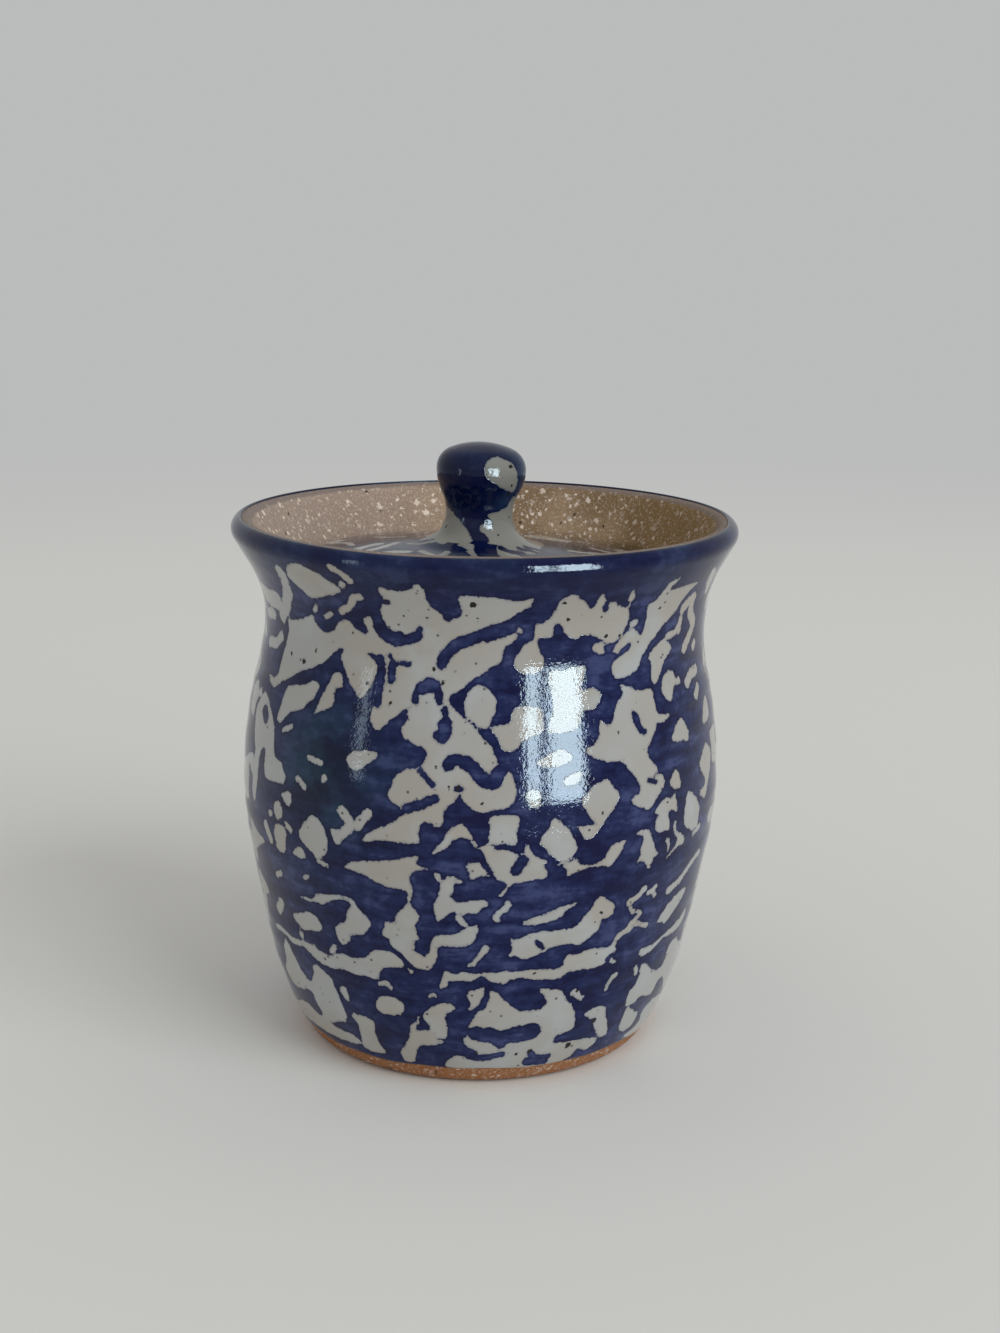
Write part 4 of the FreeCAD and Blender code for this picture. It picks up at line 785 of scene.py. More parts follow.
# brush marks of cobalt: width, then the path
blueStrokes = [
    (2.6, [(-25.4, 104.2), (-24.6, 100.8), (-22.6, 99)]),
    (2.8, [(-23.4, 99.6), (-21.1, 98.7), (-19.6, 98.9)]),
    (1.9, [(-20, 99.1), (-17.4, 98.9), (-15.2, 99.9)]),
    (1.1, [(-15.2, 100), (-14.6, 101.2)]),
    (1, [(-20.9, 110.2), (-18, 109.8), (-15, 110.6)]),
    (1, [(-22.3, 106.6), (-21.4, 106.4)]),
    (2, [(-9.5, 94.3), (-9.1, 96)]),
    (2.3, [(-9.2, 95.6), (-6.7, 98), (-2.7, 99.6), (1.8, 101)]),
    (3.1, [(0.5, 100.6), (4, 101.5), (6.8, 102.4), (10.7, 104.7)]),
    (3, [(10.2, 103.2), (10.2, 100.6)]),
    (2, [(9.6, 100.8), (7.6, 97.8), (5.6, 95)]),
    (2.4, [(6.4, 97.2), (5.8, 94.4)]),
    (0.8, [(-22.4, 95.2), (-21.2, 94), (-17.2, 93.9)]),
    (1.7, [(-21.7, 93.5), (-21.8, 90.3)]),
    (1.5, [(-25.1, 94.3), (-24.4, 91), (-24.7, 85.3)]),
    (2.5, [(-13.8, 89.4), (-12.4, 90.3), (-11, 89.9)]),
    (1.5, [(-11, 90.2), (-9.8, 88.6), (-9.4, 87)]),
    (1.2, [(-15.2, 87.9), (-15.3, 86.6)]),
    (1.2, [(-8.2, 85.3), (-7.6, 83.6)]),
    (2.8, [(-7.8, 82.5), (-8, 80.6)]),
    (1.3, [(-9.6, 80.3), (-8.4, 79.4)]),
    (1, [(-17.8, 82.4), (-17, 83.2)]),
    (2.2, [(-6.6, 74.6), (-5.6, 75.6), (-3.2, 75.6)]),
    (2.7, [(-3, 75.3), (-1, 74.2), (0.6, 72.4), (3.2, 71.4), (4.6, 73.4)]),
    (0.9, [(-12.9, 73.2), (-10, 70.6)]),
    (1.8, [(-15.6, 65.3), (-12.6, 66.3), (-9.4, 67.7)]),
    (1.2, [(-4.6, 70), (-4, 69.9)]),
    (3.2, [(-10.9, 61.1), (-10.7, 59.2)]),
    (2.2, [(10.1, 55.2), (8.6, 53.1)]),
    (0.9, [(5.2, 58.2), (7.6, 58)]),
    (0.9, [(28.8, 104.6), (28.9, 106.8), (32.6, 107)]),
    (1.1, [(32, 106.2), (34.3, 105.6)]),
    (1.1, [(35, 95.1), (37.2, 96.5)]),
    (0.9, [(61, 96.3), (63.3, 97.6)]),
    (1.3, [(38.6, 82.5), (39.6, 79.9), (41.1, 78.5)]),
    (0.9, [(41.6, 68.4), (43.9, 67.7)]),
    (2.6, [(-63.6, 77.6), (-62.4, 76.6)]),
    (1.8, [(-58.8, 108), (-54.5, 107.2)]),
    (3.6, [(0.4, 14.5), (3.6, 13.8)]),
    (3.6, [(3.8, 14.2), (6.8, 13.2), (10.5, 13.7)]),
    (4.2, [(11, 13.8), (15.6, 14.3)]),
    (2.2, [(6.2, 12.5), (7.4, 11.5)]),
    (1.4, [(-1.6, 15.2), (1, 15.1)]),
    (1.3, [(-1, 8.1), (3.5, 7.8), (8, 8.7)]),
    (1.6, [(0.5, 7.8), (4.5, 7.7)]),
    (1.3, [(16, 8.6), (18, 7), (22, 6.6)]),
    (2.2, [(15.6, 6), (21, 5.6)]),
    (2, [(23.6, 11.3), (27, 11.2)]),
    (1.1, [(33.4, 14.3), (34.2, 14.2)]),
    (1.2, [(-14.8, 14.9), (-12.8, 15.6)]),
    (0.8, [(-44.6, 41.1), (-43, 41.3)]),
    (0.7, [(14.4, 36.4), (16.2, 34.9)]),
    (1.1, [(34.4, 29.4), (35.6, 30.2)]),
]

# dark specks of iron that came through the glaze: degrees, height, radius in millimetres
ironSpecks = [
    (-55.2, 91.4, 0.6), (-49.2, 90.8, 0.6), (-44.8, 93.6, 0.6), (-28.1, 89, 0.5), (-21.7, 106.5, 0.5),
    (-17.9, 103.7, 0.3), (-12.4, 103.6, 0.5), (-2, 106.9, 0.8), (-1.1, 103.6, 0.4), (19.7, 103.1, 0.6),
    (18.1, 107.1, 0.5), (-11.4, 93.1, 0.5), (-9, 90.7, 0.6), (-21.4, 85.7, 0.5), (-18.8, 92.2, 0.4),
    (-4, 92.2, 0.3), (0.7, 87.6, 0.4), (-6.2, 70, 0.5), (-4.3, 70, 0.6), (1.1, 66.9, 0.4),
    (-9.2, 74.1, 0.4), (45.6, 103.5, 0.5), (47.3, 91.5, 0.4), (49.2, 92.6, 0.3), (28.6, 63.6, 0.5),
    (47.8, 62.3, 0.4), (33.6, 79.3, 0.3), (34.5, 74, 0.3), (34.1, 99, 0.4), (30.1, 99.1, 0.3),
    (-41.3, 27.1, 0.4), (-21.7, 31, 0.4), (14.5, 29, 0.5), (12.1, 8.4, 0.5), (15.9, 9, 0.6), (0.9, 9, 0.5),
    (30.3, 41.4, 0.5), (28.9, 39.3, 0.3), (30.7, 31.3, 0.4), (26.8, 23.1, 0.5), (33.9, 14.2, 0.7),
    (27.6, 9, 1),
]

# the knob was dipped in cobalt down to this line; it closes over the top
knobDip = [
    (-180, 117.5), (-150, 118.8), (-120, 117), (-90, 119.3), (-61, 118.6), (-45, 117.4), (-34, 116.7),
    (-25, 115.5), (-15, 114.2), (-9, 113.1), (-6, 112), (-9, 111), (-10, 110), (-12, 108), (26, 108),
    (24, 109.8), (23, 110.3), (18, 111), (13, 111.5), (16, 111.8), (15, 113.1), (10, 113.8), (4, 114.3),
    (4, 115.7), (13, 115.8), (22, 115.7), (24, 116), (18, 116.9), (13, 117.8), (20, 118), (30, 118.2),
    (40, 118.7), (53, 119.4), (58, 121.6), (90, 120.5), (120, 118.5), (150, 119.5), (180, 117.5),
    (181, 140), (-181, 140),
]
knobWindows = [
    [(5, 129), (11, 130), (21, 130.5), (32, 130.3), (42, 129.5), (49, 128.4), (53, 126.9), (55, 125.4),
     (55, 123.9), (52, 122.8), (43, 122.9), (30, 123.9), (20, 124.8), (12, 125.5), (7, 126.3), (5, 127.7)],
    [(118, 128.6), (132, 129.8), (148, 128.8), (152, 126.2), (140, 124.4), (124, 125.2)],
    [(-128, 124.8), (-116, 126.4), (-104, 125.6), (-102, 122.9), (-114, 121.6), (-126, 122.6)],
]
knobSpecks = [(42, 128.5, 0.35), (44, 124.3, 0.4), (44, 122.4, 0.5), (-63, 114.6, 0.3), (61, 116.8, 0.3)]

# the lid's top near the knob: brush marks and pale slips placed by (right, back) of the middle
lidStrokes = [
    (4.6, [(1.9, -9), (1.9, -13), (3, -17)]), (1.5, [(5.3, -10), (7.5, -10.6), (9.3, -9.9)]),
    (1.3, [(9.3, -7.8), (11.6, -7), (14.6, -9)]), (1.3, [(10.7, -5.6), (12.8, -4.9), (16.2, -6)]),
    (2.4, [(-6.4, -12.2), (-5.2, -12), (-3, -14.5)]), (4.2, [(15.4, 8), (19, 2.4), (19, -3)]),
]
lidSlips = [
    (2.4, [(-28.2, -5.8), (-25.8, -3), (-23, -1)]), (2.0, [(-24.6, -7.4), (-21.7, -5.1), (-18.6, -1.2)]),
    (2.2, [(-23, -11.7), (-19.8, -10.8), (-15.9, -11.3)]), (1.0, [(-12.6, -0.3), (-10.1, -3.1)]),
    (1.0, [(-15.8, -2.6), (-13.4, -4.3), (-11.2, -4.9), (-9, -5.7)]),
    (1.6, [(-12.6, -11.2), (-9.8, -15.2), (-8, -14.8), (-6.8, -12.7)]),
    (1.2, [(-24.5, 11), (-21, 8), (-17.6, 7.5)]), (1.4, [(-34.6, 8), (-31, 5.5), (-29.4, 1)]),
    (1.5, [(19.6, -0.3), (22.7, 0.2), (25.4, 2.4)]), (1.4, [(24, 9), (28, 7), (31, 9)]),
]

# long slips round the back: width, height and their two ends in millimetres round from the front
ringSlips = [
    (1.5, 28.5, 70, 108), (2.2, 29.5, 132, 158), (1.4, 27.0, 196, 230),
    (1.2, 43.0, 76, 96), (1.6, 44.0, 124, 146), (1.1, 42.0, 206, 232),
]


def smoothPath(points, closed, steps=6):
    # a Catmull-Rom curve: every stretch is the cubic through its two points whose slopes are those
    # of the chords between their neighbours
    p = np.array(points, float)
    if closed:
        p = np.vstack([p[-1:], p, p[:2]])
    elif len(p) > 2:
        p = np.vstack([2 * p[0] - p[1], p, 2 * p[-1] - p[-2]])
    else:
        return p
    before, start, end, after = p[:-3, None], p[1:-2, None], p[2:-1, None], p[3:, None]
    t = (np.arange(steps) / steps)[None, :, None]
    curve = start + t / 2 * (end - before + t * (2 * before - 5 * start + 4 * end - after
                                                 + t * (3 * (start - end) + after - before)))
    return np.vstack([curve.reshape(-1, 2), p[-2:-1]])


def nearest(x, z, path):
    # distance from every point to the nearest stretch of a path
    best = np.full(x.shape, 1e9)
    for (startX, startZ), (alongX, alongZ) in zip(path[:-1], np.diff(path, axis=0)):
        t = ((x - startX) * alongX + (z - startZ) * alongZ) / (alongX ** 2 + alongZ ** 2 + 1e-12)
        t = np.clip(t, 0, 1)
        best = np.minimum(best, np.hypot(x - startX - t * alongX, z - startZ - t * alongZ))
    return best


def within(x, z, path):
    # a point is inside a closed path if an odd number of its stretches pass on the right
    odd = np.zeros(x.shape, bool)
    for (startX, startZ), (endX, endZ) in zip(path[:-1], path[1:]):
        if startZ != endZ:
            crossing = startX + (endX - startX) * (z - startZ) / (endZ - startZ)
            odd ^= ((startZ > z) != (endZ > z)) & (x < crossing)
    return odd


def edgeDepth(x, z, outline):
    # distance to a closed outline, positive inside it
    return np.where(within(x, z, outline), 1, -1) * nearest(x, z, outline)


def paint(depth, x, z, scale, windows, strokes, slips):
    # a window leaves at most minus its own depth, a stroke at least half its width less the distance
    # to its path, and a slip at most the distance less half its width
    p = patternForm
    reach = p["fullDepth"]
    marks = [(0, window, "window") for window in windows]
    marks += [(width, path, "stroke") for width, path in strokes]
    marks += [(width, path, "slip") for width, path in slips]
    for width, points, kind in marks:
        width = width + p["spread"] if width else 0
        path = smoothPath(points, kind == "window") * [scale, 1]
        low, high = path.min(0) - reach - width, path.max(0) + reach + width
        near = (x > low[0]) & (x < high[0]) & (z > low[1]) & (z < high[1])
        if not near.any():
            continue
        px, pz = x[near], z[near]
        if kind == "window":
            depth[near] = np.minimum(depth[near], -edgeDepth(px, pz, path))
        elif kind == "stroke":
            depth[near] = np.maximum(depth[near], width / 2 - nearest(px, pz, path))
        else:
            depth[near] = np.minimum(depth[near], nearest(px, pz, path) - width / 2)
    return depth


def stampOutlines():
    # the small windows, centred, in millimetres
    p = patternForm
    outlines = [np.array(window, float) * [p["mmPerDegree"], 1] for window in greyWindows]
    sizes = [np.ptp(outline, axis=0) for outline in outlines]
    return [outline - outline.mean(0) for outline, size in zip(outlines, sizes)
            if size.max() < p["stampMost"] and size.min() > p["stampLeast"]]


def stamped(draw, centres, growth):
    # at every centre a small window, flipped or not, turned a little and scaled
    p = patternForm
    outlines = stampOutlines()
    placed = []
    for centre in centres:
        outline = outlines[draw.integers(len(outlines))] * draw.uniform(*p["stampScale"], 2) * growth
        turn = draw.uniform(-p["stampTurn"], p["stampTurn"])
        spin = np.array([[math.cos(turn), -math.sin(turn)], [math.sin(turn), math.cos(turn)]])
        outline = outline * [draw.choice([-1, 1]), draw.choice([-1, 1])]
        placed.append(outline @ spin + centre)
    return placed


def scattered(draw, x, z):
    # the points of a grid, each moved at random by up to stampJitter either way
    jitter = patternForm["stampJitter"]
    centres = np.column_stack([x.ravel(), z.ravel()])
    return centres + draw.uniform(-jitter, jitter, centres.shape)


def strewn(draw, low, high, count, widths, slope):
    # short curved brush marks at random places in a box, each bent a little at its middle
    p = patternForm
    strokes = []
    for start in draw.uniform(low, high, (count, 2)):
        turn, length = draw.normal(0, slope), draw.uniform(*p["strokeLength"])
        along = np.array([math.cos(turn), math.sin(turn)]) * length * draw.choice([-1, 1])
        bend = np.array([-along[1], along[0]]) * draw.uniform(-p["strokeBend"], p["strokeBend"])
        strokes.append((draw.uniform(*widths), [start, start + along / 2 + bend, start + along]))
    return strokes


def backMarks():
    # stamps on a jittered grid round the back, long slips along two throwing rings, random strokes
    p = patternForm
    draw = np.random.default_rng(p["seed"])
    first, last = p["firstStamp"] * p["mmPerDegree"], p["lastStamp"] * p["mmPerDegree"]
    across = np.arange(first, last, p["stampAcross"])
    up = np.arange(p["lowStamp"], p["highStamp"], p["stampUp"])
    x, z = np.meshgrid(across, up)
    x = x + (np.arange(len(up)) % 2)[:, None] * p["stampAcross"] / 2
    centres = scattered(draw, x, z)
    centres = centres[draw.random(len(centres)) > p["stampGaps"]]
    windows = stamped(draw, centres, p["backGrowth"])
    low = across[0] - p["strewnBeside"], p["strewnLow"]
    high = across[-1] + p["strewnBeside"], p["rimBand"]
    strokes = strewn(draw, low, high, *p["backStrokes"])
    slips = [(width, [(place, height + draw.uniform(-p["slipSway"], p["slipSway"]))
                      for place in np.arange(start, end, p["slipStep"])])
             for width, height, start, end in ringSlips]
    slips += strewn(draw, low, high, *p["backSlips"])
    return windows, strokes, slips


def wrapped(marks):
    # the same marks once more, one turn to the left, so that they are found from both sides
    turn = np.array([-360 * patternForm["mmPerDegree"], 0])
    if marks and isinstance(marks[0], tuple):
        return marks + [(width, np.array(path) + turn) for width, path in marks]
    return marks + [outline + turn for outline in marks]


def potPattern(angle, height):
    # the back's marks, the blue band with a wavy lower edge under the back's rim, the front's marks
    p = patternForm
    angle = (angle + 180) % 360 - 180
    x = angle * p["mmPerDegree"]
    windows, strokes, slips = (wrapped(marks) for marks in backMarks())
    depth = paint(np.full(x.shape, p["fullDepth"]), x, height, 1.0, windows, strokes, slips)
    band = height - p["rimBand"] - ripple(np.radians(angle), p["rimWave"])
    depth = np.where(np.abs(angle) > p["backFrom"], np.maximum(depth, band), depth)
    return paint(depth, x, height, p["mmPerDegree"], greyWindows, blueStrokes, greySlips)


def lidPattern(radius, height, angle):
    # over the dome, stamps and strokes laid out in plan with grey round the knob; over the knob, the
    # line of its dip and its windows, laid out by angle and height
    p = patternForm
    draw = np.random.default_rng(p["seed"] + 1)
    turn = np.radians(angle)
    x, y = radius * np.sin(turn), -radius * np.cos(turn)
    places = np.arange(-p["lidStampTo"], p["lidStampTo"] + 1, p["lidStampStep"])
    centres = scattered(draw, *np.meshgrid(places, places))
    away = np.hypot(*centres.T)
    toSlips = np.abs(centres[:, 0]) > p["slipsFrom"]
    toSlips &= np.abs(centres[:, 1] - p["slipsMiddle"]) < p["slipsHalf"]
    centres = centres[(away > p["lidStampFrom"]) & (away < p["lidStampTo"]) & ~toSlips]
    reach = p["lidStrewnReach"]
    strokes = lidStrokes + strewn(draw, (-reach, -reach), (reach, reach), *p["lidStrewn"])
    depth = np.full(x.shape, p["fullDepth"])
    depth = paint(depth, x, y, 1.0, stamped(draw, centres, p["lidGrowth"]), [], [])
    depth = np.minimum(depth, radius - p["collar"] - ripple(turn, p["collarWave"]))
    depth = paint(depth, x, y, 1.0, [], strokes, lidSlips)
    across = angle * p["knobPerDegree"]
    dip = np.array(knobDip + knobDip[:1], float) * [p["knobPerDegree"], 1]
    knob = np.minimum(edgeDepth(across, height, dip), p["fullDepth"])
    knob = paint(knob, across, height, p["knobPerDegree"], knobWindows, [], [])
    return np.where(radius < p["knobReach"], knob, depth)


def speckDepth(across, height, specks, scale):
    # the largest, over all specks, of the speck's radius less the distance to its middle
    p = patternForm
    depth = np.full(across.shape, p["noSpeck"])
    for place, level, size in specks:
        away = np.hypot(across - place * scale, height - level)
        depth = np.maximum(depth, p["speckShare"] * size + p["speckExtra"] - away)
    return depth


def giveFields(piece, cobalt, iron, shadeAndRimDark):
    # one value per point of the piece under each of the three names that the glaze reads
    for name, values in (("cobalt", cobalt), ("iron", iron), ("shadeAndRimDark", shadeAndRimDark)):
        field = piece.data.attributes.new(name, "FLOAT", "POINT")
        field.data.foreach_set("value", np.ascontiguousarray(values, dtype=np.float32).ravel())


def paintPot():
    # painted shade with a greenish painted reflection where exp(-(distance / reach)^2) from one place is
    # large, and darker towards the rim
    p = patternForm
    angle, height = potCoatAngle, potCoatHeight
    front = slice(0, coatForm["rows"])  # the inner face never shows
    cobalt = np.full(height.shape, p["fullDepth"])
    cobalt[front] = potPattern(angle[front], height[front])
    draw = np.random.default_rng(p["seed"] + 2)
    ranges = (p["backFrom"], p["backTo"]), p["speckHeights"], p["speckSizes"]
    backSpecks = np.column_stack([draw.uniform(*ends, p["backSpecks"]) for ends in ranges])
    iron = speckDepth(angle * p["mmPerDegree"], height, [*ironSpecks, *backSpecks], p["mmPerDegree"])
    shadeAndRimDark = ((angle - p["shadeAngle"]) / p["shadeReach"]) ** 2
    shadeAndRimDark = np.exp(-(shadeAndRimDark + ((height - p["shadeHeight"]) / p["shadeReach"]) ** 2))
    shadeAndRimDark = np.maximum(shadeAndRimDark, sum(share * eased(height, low, high) for share, low, high in p["rimDark"]))
    giveFields(potCoat, cobalt, iron, shadeAndRimDark)
    shown = cobalt[front][:, np.abs(angle[0]) < p["backFrom"]]
    print("pot pattern: blue over", round(float((shown > 0).mean()), 2), "of the front")


def paintLid():
    # the two poles are the last points, so they get the values next to them; the painted shade grows
    # towards the knob
    p = patternForm
    radius, height = lidCoatRadius[1:-1, None], lidCoatHeight[1:-1, None]
    radius, height, angle = np.broadcast_arrays(radius, height, lidCoatAngle[None, :])
    outer = slice(lidForm["coatInnerRows"] - 1, None)
    cobalt = np.full(radius.shape, p["fullDepth"])
    cobalt[outer] = lidPattern(radius[outer], height[outer], angle[outer])
    iron = speckDepth(angle * p["knobPerDegree"], height, knobSpecks, p["knobPerDegree"])
    shadeAndRimDark = np.clip((p["lidShadeFrom"] - radius) / p["lidShadeOver"], *p["lidShade"])
    giveFields(lidCoat, *(np.concatenate([values.ravel(), values[0, :1], values[-1, :1]])
                          for values in (cobalt, iron, shadeAndRimDark)))


paintPot()
paintLid()


# finishes

def tint(red, green, blue):
    # a colour as it is seen, 0 to 255, turned into the light values that shaders use
    seen = np.array([red, green, blue]) / 255
    light = np.where(seen < 0.04045, seen / 12.92, ((seen + 0.055) / 1.055) ** 2.4)
    return (*(float(value) for value in light), 1.0)


def put(tree, kind, inputs=None, **settings):
    # adds a shader node, sets its settings, and fills or links its inputs by name or by number
    node = tree.nodes.new("ShaderNode" + kind)
    for key, value in settings.items():
        setattr(node, key, value)
    for key, value in (inputs or {}).items():
        if isinstance(value, bpy.types.NodeSocket):
            tree.links.new(value, node.inputs[key])
        else:
            node.inputs[key].default_value = value
    return node


def newFinish(name):
    # a finish with one shader and the place on the piece, in metres
    finish = bpy.data.materials.new(name)
    finish.use_nodes = True
    tree = finish.node_tree
    tree.nodes.clear()
    shader = put(tree, "BsdfPrincipled")
    tree.links.new(shader.outputs[0], put(tree, "OutputMaterial").inputs["Surface"])
    return finish, tree, shader, put(tree, "TexCoord").outputs["Object"]


def noise(tree, place, scale, detail, rough=0.5):
    # a cloudy value round 0.5
    return put(tree, "TexNoise", {"Vector": place, "Scale": scale, "Detail": detail,
                                  "Roughness": rough}).outputs[0]


def stretched(tree, place, scale):
    # the place times a scale for each axis
    return put(tree, "Mapping", {"Vector": place, "Scale": scale}).outputs[0]


def cellsOf(tree, place, scale):
    # a Voronoi pattern: the distance to the middle of the cell, and two random values of that cell
    cells = put(tree, "TexVoronoi", {"Vector": place, "Scale": scale}, feature="F1")
    chance = put(tree, "SeparateColor", {0: cells.outputs["Color"]})
    return cells.outputs["Distance"], chance.outputs[0], chance.outputs[1]


def ramp(tree, value, low, high, start=0.0, end=1.0, kind="SMOOTHSTEP"):
    # from start to end while value goes from low to high
    return put(tree, "MapRange", {"Value": value, "From Min": low, "From Max": high, "To Min": start,
                                  "To Max": end}, interpolation_type=kind).outputs[0]


def sums(tree, kind, first, second):
    # one step of arithmetic on two values
    return put(tree, "Math", {0: first, 1: second}, operation=kind).outputs[0]


def product(tree, first, second):
    # first * second
    return sums(tree, "MULTIPLY", first, second)


def swayed(tree, value, size):
    # (value - 0.5) * size: a noise as a shift to either side
    return product(tree, sums(tree, "SUBTRACT", value, 0.5), size)


def mixed(tree, share, first, second):
    # first * (1 - share) + second * share, for colours from a look or from other nodes
    node = put(tree, "Mix", data_type="RGBA")
    for socket, value in zip((node.inputs[0], node.inputs[6], node.inputs[7]), (share, first, second)):
        if isinstance(value, bpy.types.NodeSocket):
            tree.links.new(value, socket)
        else:
            socket.default_value = tint(*value)
    return node.outputs[2]


def bumped(tree, shader, height, distance, below=None):
    # tilts the surface as if it stood up by height * distance, on top of the bump below
    inputs = {"Height": height, "Distance": distance, "Strength": 1.0}
    if below is not None:
        inputs["Normal"] = below
    normal = put(tree, "Bump", inputs).outputs[0]
    tree.links.new(normal, shader.inputs["Normal"])
    return normal


# in the three looks a colour is given as it is seen, a noise by its scale, detail and roughness, and
# a ramp by the two values between which it runs and, where these aren't 0 and 1, its start and end
glazeLook = {
    "blue": (22, 34, 80), "deepBlue": (2, 8, 58), "paleBlue": (64, 74, 120),
    # painted shade colours: a dark blue and a greenish painted reflection, and a grey for the painted shade
    # near the knob
    "shadeBlue": (8, 20, 44), "reflectionGreen": (28, 58, 76), "shadeGrey": (122, 122, 114),
    "grey": (177, 178, 176), "warmGrey": (174, 169, 161), "coolGrey": (181, 185, 186), "iron": (34, 27, 24),
    # the torn edge of the blue, moved by so many millimetres
    "tear": (560.0, 3.0), "tearBy": 1.0, "fray": (1400.0, 2.0), "frayBy": 0.68, "cut": (-0.07, 0.07),
    # the blue's tone: its noises, their shares, and the ramps to the darker and the paler blue
    "streakStretch": (110, 110, 480), "streak": (1.0, 4.0, 0.55), "cloud": (70.0, 3.0, 0.55),
    "fleck": (420.0, 3.0, 0.65), "streakShare": 0.4, "cloudShare": 0.35, "fleckShare": 0.25,
    "toBlue": (0.41, 0.51), "toPale": (0.5, 0.61, 0.0, 0.8),
    "edgeStart": (0.05, 0.2), "edgeEnd": (0.25, 0.75, 1.0, 0.0), "edgeShare": 0.7,
    "deepTop": (0.104, 0.11, 0.0, 0.5),
    # how far the painted shade and greenish painted reflection go over the blue, and how much less over the
    # knob
    "toGreen": (0.48, 0.62), "shadeShare": (0.0, 1.0, 0.0, 0.85, "LINEAR"), "lessOnKnob": (1.2, 1.6, 1.0, 0.5),
    # the grey ground, its painted shade near the knob, its pepper and the halo beside the blue
    "warmth": (38.0, 3.0), "toGrey": (0.35, 0.65), "coolness": (95.0, 3.0), "toCool": (0.5, 0.7, 0.0, 0.7),
    "toShadeGrey": (1.0, 1.6, 0.0, 0.7), "pepperScale": 520.0, "pepperChosen": (0.7, 0.84),
    "pepperSize": (0.1, 0.22, 0.8, 0.0), "halo": (-0.5, 0.0, 0.0, 0.28),
    "ironTear": (900.0, 2.0), "ironTearBy": 1.3, "ironCut": (-0.1, 0.12),
    # gloss and relief, with heights in metres
    "sand": (1200.0, 2.0, 0.6), "roughness": (0.35, 0.75, 0.03, 0.12), "index": 1.33,
    "soft": (85.0, 2.0), "softShare": 3.0, "peel": (330.0, 2.0), "ringStretch": (12, 12, 520),
    "rings": (1.0, 2.0), "softHeight": 0.00002, "sandHeight": 0.00004, "blueHeight": 0.00002,
}


def spongedGlaze():
    p = glazeLook
    finish, tree, shader, place = newFinish("spongedGlaze")
    cobalt, iron, shadeAndRimDark = (put(tree, "Attribute", attribute_name=name).outputs["Fac"]
                           for name in ("cobalt", "iron", "shadeAndRimDark"))
    height = put(tree, "SeparateXYZ", {0: place}).outputs[2]
    # the sponge leaves a torn edge: the depth is moved by two noises before it is cut
    tear = swayed(tree, noise(tree, place, *p["tear"]), p["tearBy"])
    fray = swayed(tree, noise(tree, place, *p["fray"]), p["frayBy"])
    depth = sums(tree, "ADD", cobalt, sums(tree, "ADD", tear, fray))
    blueMask = ramp(tree, depth, *p["cut"])
    # the blue is streaked by the brush, paler where it is thin and darkest in a line at its edge
    streak = noise(tree, stretched(tree, place, p["streakStretch"]), *p["streak"])
    cloud = noise(tree, place, *p["cloud"])
    tone = sums(tree, "ADD", product(tree, cloud, p["cloudShare"]),
                product(tree, noise(tree, place, *p["fleck"]), p["fleckShare"]))
    tone = sums(tree, "ADD", product(tree, streak, p["streakShare"]), tone)
    blue = mixed(tree, ramp(tree, tone, *p["toBlue"]), p["deepBlue"], p["blue"])
    blue = mixed(tree, ramp(tree, tone, *p["toPale"]), blue, p["paleBlue"])
    edge = product(tree, ramp(tree, depth, *p["edgeStart"]), ramp(tree, depth, *p["edgeEnd"]))
    blue = mixed(tree, product(tree, edge, p["edgeShare"]), blue, p["deepBlue"])
    blue = mixed(tree, ramp(tree, height, *p["deepTop"]), blue, p["deepBlue"])
    # painted shade, with a greenish painted reflection, where the shade field is high, though less of it
    # over the knob, so it is bluer again
    shadeAndReflection = mixed(tree, ramp(tree, cloud, *p["toGreen"]), p["shadeBlue"], p["reflectionGreen"])
    share = product(tree, ramp(tree, shadeAndRimDark, *p["shadeShare"]), ramp(tree, shadeAndRimDark, *p["lessOnKnob"]))
    blue = mixed(tree, share, blue, shadeAndReflection)
    # the ground is a warm grey, cooler in places, with a painted shade on the lid near the knob, a faint
    # halo of blue and fine pepper
    warmth, coolness = (noise(tree, place, *p[key]) for key in ("warmth", "coolness"))
    grey = mixed(tree, ramp(tree, warmth, *p["toGrey"]), p["warmGrey"], p["grey"])
    grey = mixed(tree, ramp(tree, coolness, *p["toCool"]), grey, p["coolGrey"])
    grey = mixed(tree, ramp(tree, shadeAndRimDark, *p["toShadeGrey"]), grey, p["shadeGrey"])
    away, chance, _ = cellsOf(tree, place, p["pepperScale"])
    dots = product(tree, ramp(tree, chance, *p["pepperChosen"]), ramp(tree, away, *p["pepperSize"]))
    grey = mixed(tree, dots, grey, p["iron"])
    grey = mixed(tree, ramp(tree, depth, *p["halo"]), grey, p["blue"])
    colour = mixed(tree, blueMask, grey, blue)
    speck = sums(tree, "ADD", iron, swayed(tree, noise(tree, place, *p["ironTear"]), p["ironTearBy"]))
    colour = mixed(tree, ramp(tree, speck, *p["ironCut"]), colour, p["iron"])
    tree.links.new(colour, shader.inputs["Base Color"])
    # the gloss is broken up by a skin like orange peel, and the blue stands a hair above the grey
    sand = noise(tree, place, *p["sand"])
    tree.links.new(ramp(tree, sand, *p["roughness"]), shader.inputs["Roughness"])
    shader.inputs["IOR"].default_value = p["index"]
    soft = product(tree, noise(tree, place, *p["soft"]), p["softShare"])
    soft = sums(tree, "ADD", soft, noise(tree, place, *p["peel"]))
    rings = noise(tree, stretched(tree, place, p["ringStretch"]), *p["rings"])
    normal = bumped(tree, shader, sums(tree, "ADD", soft, rings), p["softHeight"])
    normal = bumped(tree, shader, sand, p["sandHeight"], normal)
    bumped(tree, shader, blueMask, p["blueHeight"], normal)
    return finish


